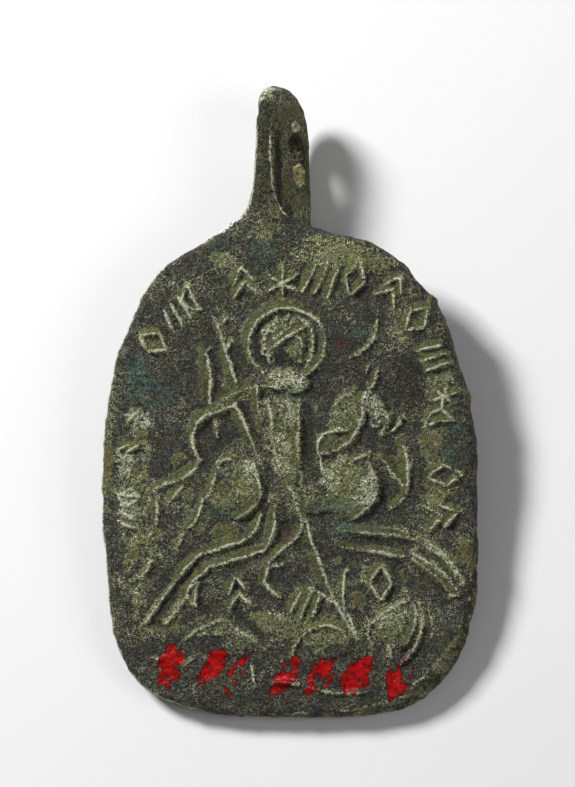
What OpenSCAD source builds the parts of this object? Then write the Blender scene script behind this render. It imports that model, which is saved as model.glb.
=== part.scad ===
// Cast amulet pendant: a rounded plate with a raised rider on its face and a drilled lug on top.
// It lies on its back, so the plate's foot and the back of the lug carry it.
// Lengths are in millimetres. The face looks up, the lug points along +Y.

/* [Plate] */
// Width of the plate at its widest row
plate_w = 30.6; // [24:0.1:40]
// Height from the plate's foot up to its widest row
foot_h = 17.2; // [12:0.1:24]
// Height from the widest row up to the plate's shoulder
shoulder_h = 22; // [16:0.1:28]
// Thickness of the plate
plate_t = 1.9; // [1.4:0.1:3]
// How square the lower half of the outline is
foot_squareness = 3.45; // [2.2:0.05:5]
// How square the upper half of the outline is
shoulder_squareness = 2.4; // [2:0.05:4]
// Bevel round the edge of the plate
bevel = 0.4; // [0.1:0.05:0.6]

/* [Lug] */
// Height of the lug above the plate
lug_h = 11; // [7:0.5:15]
// Depth of the lug from its front edge to its back edge
lug_d = 6.8; // [5:0.1:9]
// Thickness of the lug where it leaves the plate
lug_t = 2.1; // [1.6:0.1:3]
// Thickness of the lug at its tip
lug_tip_t = 1.5; // [1:0.1:2]
// Height of the lug's rounded tip
lug_tip_h = 5.2; // [3:0.1:5.6]
// Reach of the lug's gusset down the back of the plate
gusset_h = 3.4; // [2:0.1:6]
// Turn of the lug about its own upright
lug_twist = 15; // [0:1:20]
// Offset of the lug's front edge from the middle of the plate
lug_x = -2.05; // [-4:0.05:4]
// Rounding of the lug's long edges
lug_edge_r = 0.6; // [0.2:0.05:0.7]
// Height up the lug at which its fillets start
fillet_h = 3.4; // [1:0.1:5]
// Reach of the fillets along the plate's shoulder
fillet_reach = 3.1; // [1:0.1:4]

/* [Hole] */
// Radius of the hole for the cord
hole_r = 1.3; // [0.8:0.05:1.5]
// Height of the hole above the plate
hole_h = 6.2; // [4:0.1:7]
// Distance of the hole from the lug's front edge
hole_depth = 4.1; // [3.4:0.1:4.4]
// Radius of the worn mouth of the hole
mouth_r = 1.7; // [1.5:0.05:1.8]
// Depth of the worn mouth
mouth_d = 0.3; // [0.1:0.05:0.4]

/* [Relief] */
// Height of the cast lines above the face
line_h = 0.45; // [0.2:0.05:0.7]
// Height of the broad masses above the face
mass_h = 0.25; // [0.1:0.05:0.4]
// Height of the border marks above the face
mark_h = 0.35; // [0.2:0.05:0.6]
// Width of the strokes of the border marks
mark_w = 0.42; // [0.3:0.02:0.6]

/* [Hidden] */

// Steps along one curved line, and round one outline
line_steps = 6;
outline_steps = 96;
mass_steps = 28;
// Share of a line's width that is left at its ends
tip_share = 0.35;
// Depth to which the relief is rooted in the plate
root_d = 0.3;
// Widening that merges neighbouring lines into one outline
merge = 0.01;
// Overrun of a cutting shape past the solid it cuts
over = 1;
// Offset of the whole drawing on the face
drawing_at = [0.12, -0.12];

plate_h = foot_h + shoulder_h;
plate_top = plate_h;
lug_top = plate_top + lug_h;
hole_y = plate_top + hole_h;
// Height of the straight back of the lug, under its rounded tip
lug_back_h = lug_h - lug_tip_h;
// Lowest end of the lug's gusset on the plate's back
gusset_y = plate_top - gusset_h;
// How far the back of the lug stands out behind the plate
lug_drop = (lug_d - lug_edge_r) * cos(lug_twist) + (lug_t / 2 - lug_edge_r) * sin(lug_twist)
    + lug_edge_r - plate_t;
// Tilt at which the plate's foot and the lug's back both touch the surface
rest_tilt = atan(lug_drop / (plate_top - bevel));
// Reach of the rounded tip along the surface, once tilted
tip_reach = norm([lug_tip_h * cos(rest_tilt), lug_d * cos(lug_twist) * sin(rest_tilt)]);
// Lowest point, nearest point and farthest point of the tilted pendant
rest_low = bevel * sin(rest_tilt);
rest_near = -(plate_t - bevel) * sin(rest_tilt);
rest_far = (plate_top + lug_back_h) * cos(rest_tilt) - plate_t * sin(rest_tilt) + tip_reach;

// Columns of the line tables: start, end, sideways bow to the left of that way, and width
FROM_X = 0;
FROM_Y = 1;
TO_X = 2;
TO_Y = 3;
BOW = 4;
WIDE = 5;

// Columns of the oval tables: middle, radii, the angles where the line starts and ends, and width
MID_X = 0;
MID_Y = 1;
RAD_X = 2;
RAD_Y = 3;
START = 4;
END = 5;
OVAL_WIDE = 6;

// Columns of the mass table: middle, radii and turn of each broad low form
TURN = 4;

// Columns of the border table: middle, turn, size and kind of each mark
MARK_X = 0;
MARK_Y = 1;
MARK_TURN = 2;
MARK_SIZE = 3;
MARK_KIND = 4;

RIDER_LINES = [
    // collar and shoulder
    [-2.2, 26.4, -0.4, 25.9, 0.05, 0.40],
    [0.1, 25.8, 1.7, 26.6, -0.25, 0.50],
    [-2.5, 26.5, -2.6, 25.6, 0.05, 0.45],
    // cloak folds on the chest
    [-1.8, 25.2, -1.2, 22.6, 0.15, 0.40],
    [-2.9, 25.6, -2.1, 22.4, 0.05, 0.70],
    [-2.3, 21.5, -0.9, 21.1, 0.05, 0.30],
    // edge of the back
    [1.1, 25.2, 1.2, 18.6, -0.10, 0.50],
    // raised arm, and the cloak that falls from it
    [-2.8, 26.3, -6.4, 24.1, -0.15, 1.10],
    [-6.2, 24.2, -7.8, 22.5, -0.30, 0.70],
    [-7.8, 22.5, -7.2, 20.4, -0.15, 0.60],
    [-7.2, 20.4, -9.9, 18.6, 0.35, 0.60],
    [-6.0, 23.6, -5.8, 22.3, 0.00, 0.50],
    // hem, leg and foot
    [0.1, 18.5, 1.2, 15.1, 0.15, 0.55],
    [1.2, 15.1, 0.1, 13.1, 0.15, 0.45],
    [0.1, 13.1, -1.7, 10.7, 0.10, 0.55],
    [-1.7, 10.8, -0.3, 9.3, -0.10, 0.70],
    [-1.2, 11.5, 0.1, 11.9, -0.10, 0.40],
];

HEAD_LINES = [
    // hair band and locks
    [-1.4, 29.1, 1.1, 31.1, 0.05, 0.50],
    [-0.8, 32.0, -1.2, 30.6, 0.10, 0.30],
    [0.3, 32.1, -0.5, 31.0, 0.10, 0.30],
    [-1.9, 30.7, -1.5, 29.6, -0.10, 0.30],
];

SPEAR_LINES = [
    [-6.2, 32.2, -5.5, 30.2, 0.00, 0.45],
    [-5.2, 31.9, -5.7, 31.3, 0.00, 0.35],
    [-5.5, 30.3, -4.1, 26.5, 0.10, 0.50],
    [-5.2, 29.4, -4.7, 30.1, 0.00, 0.50],
    [-4.4, 25.1, -2.8, 21.3, 0.10, 0.55],
    [1.5, 15.9, 3.6, 9.9, -0.10, 0.55],
    [3.5, 10.0, 5.9, 6.1, -0.10, 0.60],
    // barbs of the spearhead
    [4.95, 11.8, 4.75, 8.4, -0.25, 0.45],
    [4.7, 8.6, 5.8, 6.3, 0.10, 0.45],
    [1.8, 10.2, 4.3, 8.6, 0.10, 0.50],
    // pennon
    [-6.8, 29.1, -6.3, 25.2, 0.30, 0.90],
];

HORSE_LINES = [
    // ear, brow, muzzle and mouth
    [7.5, 27.5, 6.8, 25.9, 0.05, 0.45],
    [6.7, 28.1, 6.4, 27.2, 0.00, 0.30],
    [8.4, 24.0, 8.1, 23.0, 0.05, 0.45],
    [7.85, 23.0, 7.8, 22.1, 0.00, 0.40],
    // bridle
    [9.4, 23.9, 8.2, 22.5, 0.25, 0.35],
    // cheek, throat and rein
    [6.3, 25.3, 6.1, 23.2, 0.15, 0.45],
    [6.1, 23.3, 4.4, 21.2, 0.20, 0.70],
    [4.5, 21.25, 2.5, 20.8, 0.10, 0.40],
    [2.5, 20.9, 2.8, 19.4, 0.05, 0.35],
    [5.1, 24.6, 5.8, 23.2, 0.15, 0.35],
    [4.8, 22.5, 3.2, 22.5, -0.10, 0.35],
    [3.3, 22.6, 2.4, 21.0, -0.25, 0.35],
    // breast
    [6.8, 21.1, 5.0, 20.1, -0.05, 0.50],
    [6.8, 19.8, 7.6, 18.0, 0.10, 0.45],
    [7.6, 18.1, 5.2, 15.6, 0.50, 0.60],
    // rump and the line of the back
    [-2.8, 21.2, -1.9, 19.3, 0.05, 0.50],
    [-2.9, 19.9, -2.15, 17.5, 0.25, 0.60],
    [-2.15, 17.6, -4.2, 15.7, 0.30, 0.50],
    // flank and inner thigh
    [-4.4, 20.5, -5.7, 20.3, -0.15, 0.45],
    [-5.6, 20.3, -6.8, 17.1, 0.15, 0.50],
    [-6.95, 17.3, -8.3, 14.9, 0.35, 0.50],
    [-8.2, 15.0, -9.1, 13.2, -0.05, 0.40],
    // tail
    [-10.9, 18.2, -10.7, 15.4, 0.10, 0.55],
    [-10.7, 15.6, -11.7, 14.0, 0.10, 0.45],
    [-11.1, 12.8, -12.9, 10.7, 0.45, 0.40],
    [-8.3, 18.9, -9.9, 16.9, 0.05, 0.40],
];

LEG_LINES = [
    // far hind leg
    [-2.2, 16.0, -3.0, 14.4, 0.20, 0.50],
    [-2.9, 14.4, -7.0, 12.9, 0.10, 0.60],
    [-6.9, 13.0, -9.1, 10.8, -0.10, 0.65],
    [-9.0, 11.0, -12.1, 7.0, -0.10, 0.65],
    // near hind leg
    [-1.1, 16.1, -1.9, 13.1, 0.40, 0.55],
    [-1.8, 13.2, -6.0, 11.9, -0.05, 0.60],
    [-5.9, 12.0, -8.1, 10.2, -0.20, 0.65],
    [-8.0, 10.3, -9.7, 7.6, 0.05, 0.65],
    // bent foreleg
    [9.6, 21.6, 9.8, 17.7, 0.25, 0.60],
    [9.8, 17.9, 8.4, 16.6, 0.15, 0.50],
    [7.9, 20.3, 9.6, 18.2, -0.10, 0.60],
    // far foreleg
    [4.3, 14.6, 9.9, 14.1, 0.15, 0.60],
    [9.7, 14.3, 14.4, 10.5, 0.55, 0.65],
    [11.0, 13.8, 14.0, 10.4, 0.20, 0.45],
    // near foreleg
    [4.1, 14.0, 6.1, 13.1, -0.10, 0.45],
    [6.0, 13.1, 10.1, 12.7, 0.10, 0.55],
    [9.9, 12.8, 14.0, 9.6, 0.45, 0.55],
    [11.6, 11.9, 13.3, 9.5, 0.20, 0.50],
    [13.2, 9.5, 14.0, 9.6, 0.00, 0.55],
];

FALLEN_LINES = [
    // raised knee
    [-8.6, 6.0, -5.1, 7.7, 0.25, 0.50],
    [-5.2, 7.7, -1.6, 5.1, 0.10, 0.55],
    [-7.3, 6.5, -4.9, 6.5, 0.05, 0.35],
    // body and belt
    [1.4, 6.2, 5.4, 6.2, 0.85, 0.50],
    [1.4, 6.3, 0.8, 4.3, -0.10, 0.40],
    // shins and feet
    [-11.2, 4.7, -9.9, 4.5, 0.00, 0.35],
    [-7.2, 5.1, -8.6, 4.0, 0.10, 0.40],
    [-2.95, 4.4, -2.6, 2.4, 0.05, 0.35],
    // ground line
    [-1.5, 2.6, 1.6, 2.5, 0.10, 0.40],
    [1.5, 2.5, 6.7, 2.1, -0.50, 0.40],
];

// Halo, the hair of both heads, and the crescent beside the halo
OVAL_LINES = [
    [0.08, 29.7, 3.10, 2.85, -55, 225, 0.60],
    [0.00, 29.7, 2.10, 2.35, -40, 62, 0.40],
    [8.9, 7.0, 2.30, 2.50, -65, 70, 0.45],
    [8.9, 7.0, 1.70, 2.10, -75, 62, 0.40],
    [5.0, 31.0, 2.10, 2.20, -85, 12, 0.45],
];

MASSES = [
    // rider's head, collar, body and thigh
    [-0.3, 30.0, 1.9, 1.9, 0],
    [-0.1, 26.8, 2.0, 0.9, 4],
    [-0.1, 22.0, 1.4, 3.9, 3],
    [-0.3, 17.2, 1.4, 1.8, 0],
    // horse's head, neck, breast, barrel and rump
    [7.3, 24.4, 0.8, 1.6, 28],
    [4.9, 24.3, 1.5, 2.0, -20],
    [3.3, 21.8, 0.9, 0.7, 20],
    [5.0, 18.2, 2.7, 2.6, 0],
    [2.2, 17.3, 1.8, 1.3, 0],
    [-4.2, 18.0, 2.4, 2.3, 20],
    // fallen figure's head, chest and hip
    [8.9, 7.0, 1.6, 1.9, 10],
    [3.4, 5.6, 2.2, 1.0, 0],
    [-5.1, 5.9, 2.6, 1.2, -10],
];

// Kinds of border mark, each drawn in a square of two units with the same columns as the lines
HATCH = [[-0.9, -0.8, -0.3, 0.9, 0, 1], [-0.2, -0.9, 0.3, 0.9, 0, 1], [0.5, -0.9, 0.9, 0.8, 0, 1]];
CHEVRONS = [
    [-0.7, -0.8, 0.05, 0.1, 0, 1],
    [-0.05, 0.1, 0.7, -0.8, 0, 1],
    [-0.6, 0.0, 0.05, 0.95, 0, 1],
    [-0.05, 0.95, 0.6, 0.0, 0, 1],
];
LOZENGE = [
    [0, 1, 0.65, 0, 0, 1],
    [0.65, 0, 0, -1, 0, 1],
    [0, -1, -0.65, 0, 0, 1],
    [-0.65, 0, 0, 1, 0, 1],
];
STAR = [[0, -1, 0, 1, 0, 1], [-0.85, -0.5, 0.85, 0.5, 0, 1], [-0.85, 0.5, 0.85, -0.5, 0, 1]];
CRESCENT = [[-0.5, 0.9, -0.5, -0.9, -0.8, 1], [-0.5, 0.9, -0.5, -0.9, -0.2, 0.8]];
WAVE = [[-1, -0.2, 0, 0.1, 0.5, 1], [0, 0.1, 1, -0.1, -0.5, 1], [-0.6, 0.8, 0.6, 0.8, 0.1, 0.8]];
KINDS = [HATCH, CHEVRONS, LOZENGE, STAR, CRESCENT, WAVE];

BORDER = [
    // up the left side
    [-13.1, 15.9, 84, 1.0, 0],
    [-13.2, 18.3, 84, 0.9, 4],
    [-13.1, 21.0, 82, 1.1, 1],
    [-12.7, 24.0, 76, 0.8, 3],
    [-11.1, 29.9, 60, 1.2, 3],
    [-9.3, 32.2, 45, 1.1, 0],
    [-7.1, 33.9, 30, 1.2, 2],
    // over the top
    [-3.7, 34.6, 12, 1.4, 1],
    [-0.4, 34.6, 0, 1.3, 3],
    [2.3, 34.6, -8, 1.2, 4],
    [5.3, 34.9, -16, 1.1, 2],
    [8.4, 34.1, -32, 1.2, 0],
    // down the right side
    [10.6, 31.9, -46, 1.1, 1],
    [11.7, 28.6, -60, 1.1, 5],
    [12.9, 25.4, -70, 1.1, 3],
    [12.5, 22.3, -78, 1.3, 4],
    [12.9, 19.1, -84, 1.2, 2],
    [12.4, 15.8, -88, 1.3, 1],
    // between the horse's legs
    [-6.6, 9.7, -10, 1.0, 4],
    [-4.0, 9.7, 10, 1.1, 1],
    [1.4, 8.9, 0, 1.0, 5],
    [7.8, 10.5, 0, 1.3, 3],
];

// A point on the plate's outline, pulled in by an inset, at an angle round the middle of its widest row
function outline_radius(a, inset) =
    let (up = sin(a) >= 0)
    let (n = up ? shoulder_squareness : foot_squareness)
    let (w = plate_w / 2 - inset)
    let (h = (up ? shoulder_h : foot_h) - inset)
    pow(pow(abs(cos(a)) / w, n) + pow(abs(sin(a)) / h, n), -1 / n);

function outline_point(a, inset) =
    let (r = outline_radius(a, inset))
    [r * cos(a), foot_h + r * sin(a)];

// One ring of the plate's skin, at a height over its back
function plate_ring(z, inset) =
    [for (i = [0 : outline_steps - 1])
        let (p = outline_point(360 * i / outline_steps, inset))
        [p[0], p[1], z]];

// Share of its full width that a line has at a share t of its length
function line_taper(t) = tip_share + (1 - tip_share) * sqrt(sin(180 * t));

// A point beside the curved line of one table row, at a share t of its length
function line_point(row, t, side) =
    let (dx = row[TO_X] - row[FROM_X])
    let (dy = row[TO_Y] - row[FROM_Y])
    let (long = norm([dx, dy]))
    let (off = row[BOW] * 4 * t * (1 - t) + side * row[WIDE] / 2 * line_taper(t))
    [row[FROM_X] + dx * t - dy / long * off, row[FROM_Y] + dy * t + dx / long * off];

// A point beside an oval line, at a share t of its sweep
function oval_point(row, t, side) =
    let (a = row[START] + (row[END] - row[START]) * t)
    let (off = side * row[OVAL_WIDE] / 2 * line_taper(t))
    [row[MID_X] + (row[RAD_X] + off) * cos(a), row[MID_Y] + (row[RAD_Y] + off) * sin(a)];

module line_2d(row) {
    polygon(concat(
        [for (i = [0 : line_steps]) line_point(row, i / line_steps, 1)],
        [for (i = [line_steps : -1 : 0]) line_point(row, i / line_steps, -1)]));
}

module oval_2d(row) {
    steps = ceil(abs(row[END] - row[START]) / 12);
    polygon(concat(
        [for (i = [0 : steps]) oval_point(row, i / steps, 1)],
        [for (i = [steps : -1 : 0]) oval_point(row, i / steps, -1)]));
}

module mass_2d(row) {
    translate([row[MID_X], row[MID_Y]])
        rotate(row[TURN])
            polygon([for (i = [0 : mass_steps - 1])
                let (a = 360 * i / mass_steps)
                [row[RAD_X] * cos(a), row[RAD_Y] * sin(a)]]);
}

module mark_2d(row) {
    size = row[MARK_SIZE];
    translate([row[MARK_X], row[MARK_Y]])
        rotate(row[MARK_TURN])
            for (s = KINDS[row[MARK_KIND]])
                line_2d([s[FROM_X] * size, s[FROM_Y] * size, s[TO_X] * size, s[TO_Y] * size,
                    s[BOW] * size, s[WIDE] * mark_w]);
}

// Raises a drawing above the plate's face and roots it in the plate
module raise(height) {
    translate([0, 0, plate_t - root_d])
        linear_extrude(height + root_d)
            offset(delta = merge)
                children();
}

module plate() {
    rings = [
        plate_ring(0, bevel),
        plate_ring(bevel, 0),
        plate_ring(plate_t - bevel, 0),
        plate_ring(plate_t, bevel),
    ];
    n = outline_steps;
    last = len(rings) - 1;
    color("#54564a")
        polyhedron(
            points = [for (ring = rings) each ring],
            faces = concat(
                [[for (i = [0 : n - 1]) i]],
                [for (k = [0 : last - 1], i = [0 : n - 1])
                    [k * n + i, (k + 1) * n + i, (k + 1) * n + (i + 1) % n, k * n + (i + 1) % n]],
                [[for (i = [n - 1 : -1 : 0]) last * n + i]]));
}

// Height of the plate's outline over its foot, at a distance x from its middle
function shoulder_y(x) =
    foot_h + shoulder_h * pow(1 - pow(abs(x) / (plate_w / 2), shoulder_squareness), 1 / shoulder_squareness);

// A point on the fillet that leaves the lug's front at x and reaches sideways along the shoulder
function fillet_point(x, reach, t) =
    let (top = [x, plate_top + fillet_h])
    let (corner = [x, shoulder_y(x)])
    let (end = [x + reach, shoulder_y(x + reach) - merge])
    top * (1 - t) * (1 - t) + corner * 2 * t * (1 - t) + end * t * t;

// The web that flares from the plate's shoulder up into the front of the lug
module neck() {
    left = lug_x - lug_t / 2;
    right = lug_x + lug_t / 2;
    steps = 8;
    color("#54564a")
        linear_extrude(plate_t)
            polygon(concat(
                [[left, gusset_y]],
                [for (i = [steps : -1 : 0]) fillet_point(left, -fillet_reach, i / steps)],
                [for (i = [0 : steps]) fillet_point(right, fillet_reach, i / steps)],
                [[right, gusset_y]]));
}

// The lug in its own frame: X is its thickness, Y points up, and its depth runs along -Z
module lug_side() {
    steps = 12;
    rotate([0, 90, 0])
        linear_extrude(2 * lug_t, center = true)
            polygon(concat(
                [[0, gusset_y], [plate_t, gusset_y], [lug_d, plate_top], [lug_d, plate_top + lug_back_h]],
                [for (i = [1 : steps])
                    let (a = 90 * i / steps)
                    [lug_d * cos(a), plate_top + lug_back_h + lug_tip_h * sin(a)]]));
}

module lug_front() {
    steps = 8;
    tip = lug_tip_t / 2;
    translate([0, 0, -lug_d - over])
        linear_extrude(lug_d + 2 * over)
            polygon(concat(
                [[-lug_t / 2, gusset_y - over], [lug_t / 2, gusset_y - over], [lug_t / 2, plate_top]],
                [for (i = [0 : steps])
                    let (a = 180 * i / steps)
                    [tip * cos(a), lug_top - tip + tip * sin(a)]],
                [[-lug_t / 2, plate_top]]));
}

module lug_plan() {
    translate([0, gusset_y - over, 0])
        rotate([-90, 0, 0])
            linear_extrude(lug_top - gusset_y + 2 * over)
                offset(r = lug_edge_r, $fn = 16)
                    translate([lug_edge_r - lug_t / 2, lug_edge_r])
                        square([lug_t - 2 * lug_edge_r, lug_d - 2 * lug_edge_r]);
}

module hole() {
    deep = 2 * lug_t;
    wall = lug_t - (lug_t - lug_tip_t) * hole_h / lug_h;
    translate([0, hole_y, -hole_depth])
        rotate([0, 90, 0]) {
            cylinder(h = deep, r = hole_r, center = true, $fn = 48);
            for (turn = [0, 180])
                rotate([turn, 0, 0])
                    translate([0, 0, wall / 2 - mouth_d])
                        cylinder(h = 2 * mouth_d, r1 = hole_r, r2 = 2 * mouth_r - hole_r, $fn = 48);
        }
}

module lug() {
    color("#5c5a40")
        translate([lug_x, 0, plate_t])
            rotate([0, -lug_twist, 0])
                difference() {
                    intersection() {
                        lug_side();
                        lug_front();
                        lug_plan();
                    }
                    hole();
                }
}

module relief() {
    color("#8c9068")
        translate(drawing_at) {
            raise(mass_h)
                for (row = MASSES)
                    mass_2d(row);
            raise(line_h) {
                for (row = concat(RIDER_LINES, HEAD_LINES, SPEAR_LINES, HORSE_LINES, LEG_LINES, FALLEN_LINES))
                    line_2d(row);
                for (row = OVAL_LINES)
                    oval_2d(row);
            }
            raise(mark_h)
                for (row = BORDER)
                    mark_2d(row);
        }
}

module amulet() {
    translate([0, -(rest_near + rest_far) / 2, -rest_low])
        rotate([rest_tilt, 0, 0])
            union() {
                plate();
                neck();
                lug();
                relief();
            }
}

amulet();
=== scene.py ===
"""An old cast bronze amulet pendant, lying on its back on a plain pale surface.

Tables and sizes of the casting are in millimetres, in the plate's own frame: x across the face, y up from
the plate's foot to the lug, z out of the face from the plate's back. Blender objects are in metres.
"""

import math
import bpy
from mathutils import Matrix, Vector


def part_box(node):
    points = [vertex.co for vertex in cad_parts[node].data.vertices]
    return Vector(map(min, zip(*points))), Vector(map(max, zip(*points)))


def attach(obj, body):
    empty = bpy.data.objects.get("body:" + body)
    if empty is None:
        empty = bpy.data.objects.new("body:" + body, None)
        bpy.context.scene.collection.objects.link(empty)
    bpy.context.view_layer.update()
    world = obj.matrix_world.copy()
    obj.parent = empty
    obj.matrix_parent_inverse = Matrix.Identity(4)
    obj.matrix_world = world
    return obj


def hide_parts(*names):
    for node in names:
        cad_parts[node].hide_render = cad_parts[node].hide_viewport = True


bl_info = {
    "name": "Amulet Pendant",
    "version": (1, 0, 0),
    "blender": (4, 5, 0),
    "location": "3D View > Sidebar > Amulet",
    "description": "Builds an old cast bronze amulet pendant with a raised rider, and a plain stage",
    "category": "Object",
}

from types import SimpleNamespace

import bpy
import numpy as np
from bpy.props import FloatProperty, FloatVectorProperty, PointerProperty
from mathutils import Matrix, Vector

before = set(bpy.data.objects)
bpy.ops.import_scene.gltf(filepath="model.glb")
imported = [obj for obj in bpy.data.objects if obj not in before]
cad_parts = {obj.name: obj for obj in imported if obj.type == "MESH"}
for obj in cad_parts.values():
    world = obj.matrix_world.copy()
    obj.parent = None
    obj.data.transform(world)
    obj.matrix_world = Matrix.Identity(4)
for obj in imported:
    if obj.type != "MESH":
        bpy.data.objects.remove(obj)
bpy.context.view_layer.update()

MM = 0.001
NODE = "amulet"
NODE_LOW, NODE_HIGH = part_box(NODE)
PICTURE_HEIGHT = 787
SENSOR = 36.0

# Way from a cast line to its long gentle flank: up and to the left of the face
FLANK_WAY = (-0.62, 0.78)
# Offset of the whole drawing on the face
DRAWING_AT = (0.19, -0.19)

# Rows of the line tables: start x and y, end x and y, sideways bow to the left of that way, width of the
# crest, height as a share of the line height, and width of the gentle flank
RIDER_LINES = [
    # collar and shoulder
    (-2.2, 26.4, -0.4, 25.9, 0.05, 0.36, 0.9, 0.2),
    (0.1, 25.8, 1.7, 26.6, -0.25, 0.44, 1.0, 0.2),
    (-2.5, 26.5, -2.6, 25.6, 0.05, 0.4, 1.2, 0.15),
    # cloak folds on the chest
    (-1.8, 25.2, -1.2, 22.6, 0.15, 0.32, 0.8, 0.3),
    (-2.7, 25.6, -1.9, 22.4, 0.05, 0.55, 0.35, 0.6),
    (-2.3, 21.5, -0.9, 21.1, 0.05, 0.24, 0.4, 0.1),
    (-2.1, 22.1, -1.4, 21.9, 0.05, 0.24, 0.4, 0.1),
    # edge of the back
    (0.9, 25.2, 1.1, 18.6, -0.1, 0.45, 0.6, 0.5),
    # raised arm, and the cloak that falls from it
    (-2.8, 26.4, -6.4, 24.5, -0.15, 0.6, 0.2, 0.7),
    (-4.3, 24.8, -6.6, 23.9, -0.1, 0.5, 1.0, 0.6),
    (-3.3, 25.5, -4.3, 25.0, 0.0, 0.4, 0.5, 0.2),
    (-6.2, 24.2, -7.8, 22.5, -0.3, 0.6, 1.1, 0.55),
    (-7.8, 22.5, -7.2, 20.4, -0.15, 0.5, 1.0, 0.35),
    (-7.2, 20.4, -9.9, 18.6, 0.35, 0.55, 0.7, 0.45),
    (-6.0, 23.6, -5.8, 22.3, 0.0, 0.45, 0.4, 0.1),
    # hem, leg and foot
    (0.1, 18.5, 1.2, 15.1, 0.15, 0.45, 0.8, 0.5),
    (1.2, 15.1, 0.3, 13.7, 0.12, 0.4, 0.8, 0.45),
    (0.3, 13.8, -1.5, 12.1, -0.05, 0.48, 0.8, 0.4),
    (-1.5, 12.2, -1.85, 10.7, 0.08, 0.5, 0.9, 0.3),
    (-1.85, 10.8, -0.5, 9.4, -0.12, 0.7, 0.9, 0.35),
    (-1.3, 11.9, -0.05, 12.1, -0.08, 0.38, 0.7, 0.15),
]
HEAD_LINES = [
    # hair band and locks
    (-1.4, 29.3, 1.2, 31.0, 0.05, 0.6, 1.0, 0.3),
    (-1.3, 30.0, 0.2, 31.1, 0.05, 0.34, 0.6, 0.15),
    (-0.9, 32.0, -1.2, 31.3, 0.1, 0.24, 0.6, 0.1),
    (0.0, 32.2, -0.5, 31.4, 0.1, 0.24, 0.6, 0.1),
    (0.5, 31.9, 0.1, 31.2, 0.1, 0.24, 0.5, 0.1),
    # brow, nose, mouth and chin, plain and turned to the right
    (0.45, 30.25, 1.15, 30.05, 0.08, 0.24, 0.6, 0.1),
    (1.1, 30.1, 1.35, 29.3, -0.05, 0.28, 0.7, 0.15),
    (0.75, 28.85, 1.15, 28.85, 0.03, 0.2, 0.5, 0.08),
    (0.65, 28.25, 1.1, 28.4, -0.1, 0.28, 0.5, 0.1),
]
SPEAR_LINES = [
    (-6.35, 32.2, -5.5, 30.1, 0.1, 0.38, 1.0, 0.5),
    (-5.0, 31.9, -5.6, 31.3, 0.0, 0.28, 0.7, 0.2),
    (-5.5, 30.2, -5.1, 28.9, 0.0, 0.34, 0.9, 0.4),
    (-5.2, 29.1, -4.1, 26.3, 0.12, 0.42, 1.1, 0.7),
    (-5.1, 29.3, -4.7, 29.9, 0.0, 0.46, 0.8, 0.2),
    (-4.4, 25.1, -2.8, 21.3, 0.1, 0.42, 1.1, 0.8),
    (1.5, 15.9, 3.6, 9.9, -0.1, 0.42, 0.9, 0.9),
    (3.5, 10.0, 5.9, 6.1, -0.1, 0.5, 0.9, 0.5),
    # barbs of the spearhead
    (4.95, 11.8, 4.75, 8.4, -0.25, 0.36, 0.9, 0.3),
    (4.7, 8.6, 5.8, 6.3, 0.1, 0.4, 0.7, 0.2),
    (1.8, 10.2, 4.3, 8.6, 0.1, 0.42, 0.6, 0.3),
    # pennon
    (-6.8, 29.2, -6.4, 25.0, 0.22, 0.55, 0.9, 0.9),
    (-6.8, 29.1, -6.1, 29.6, 0.0, 0.34, 0.7, 0.15),
]
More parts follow.
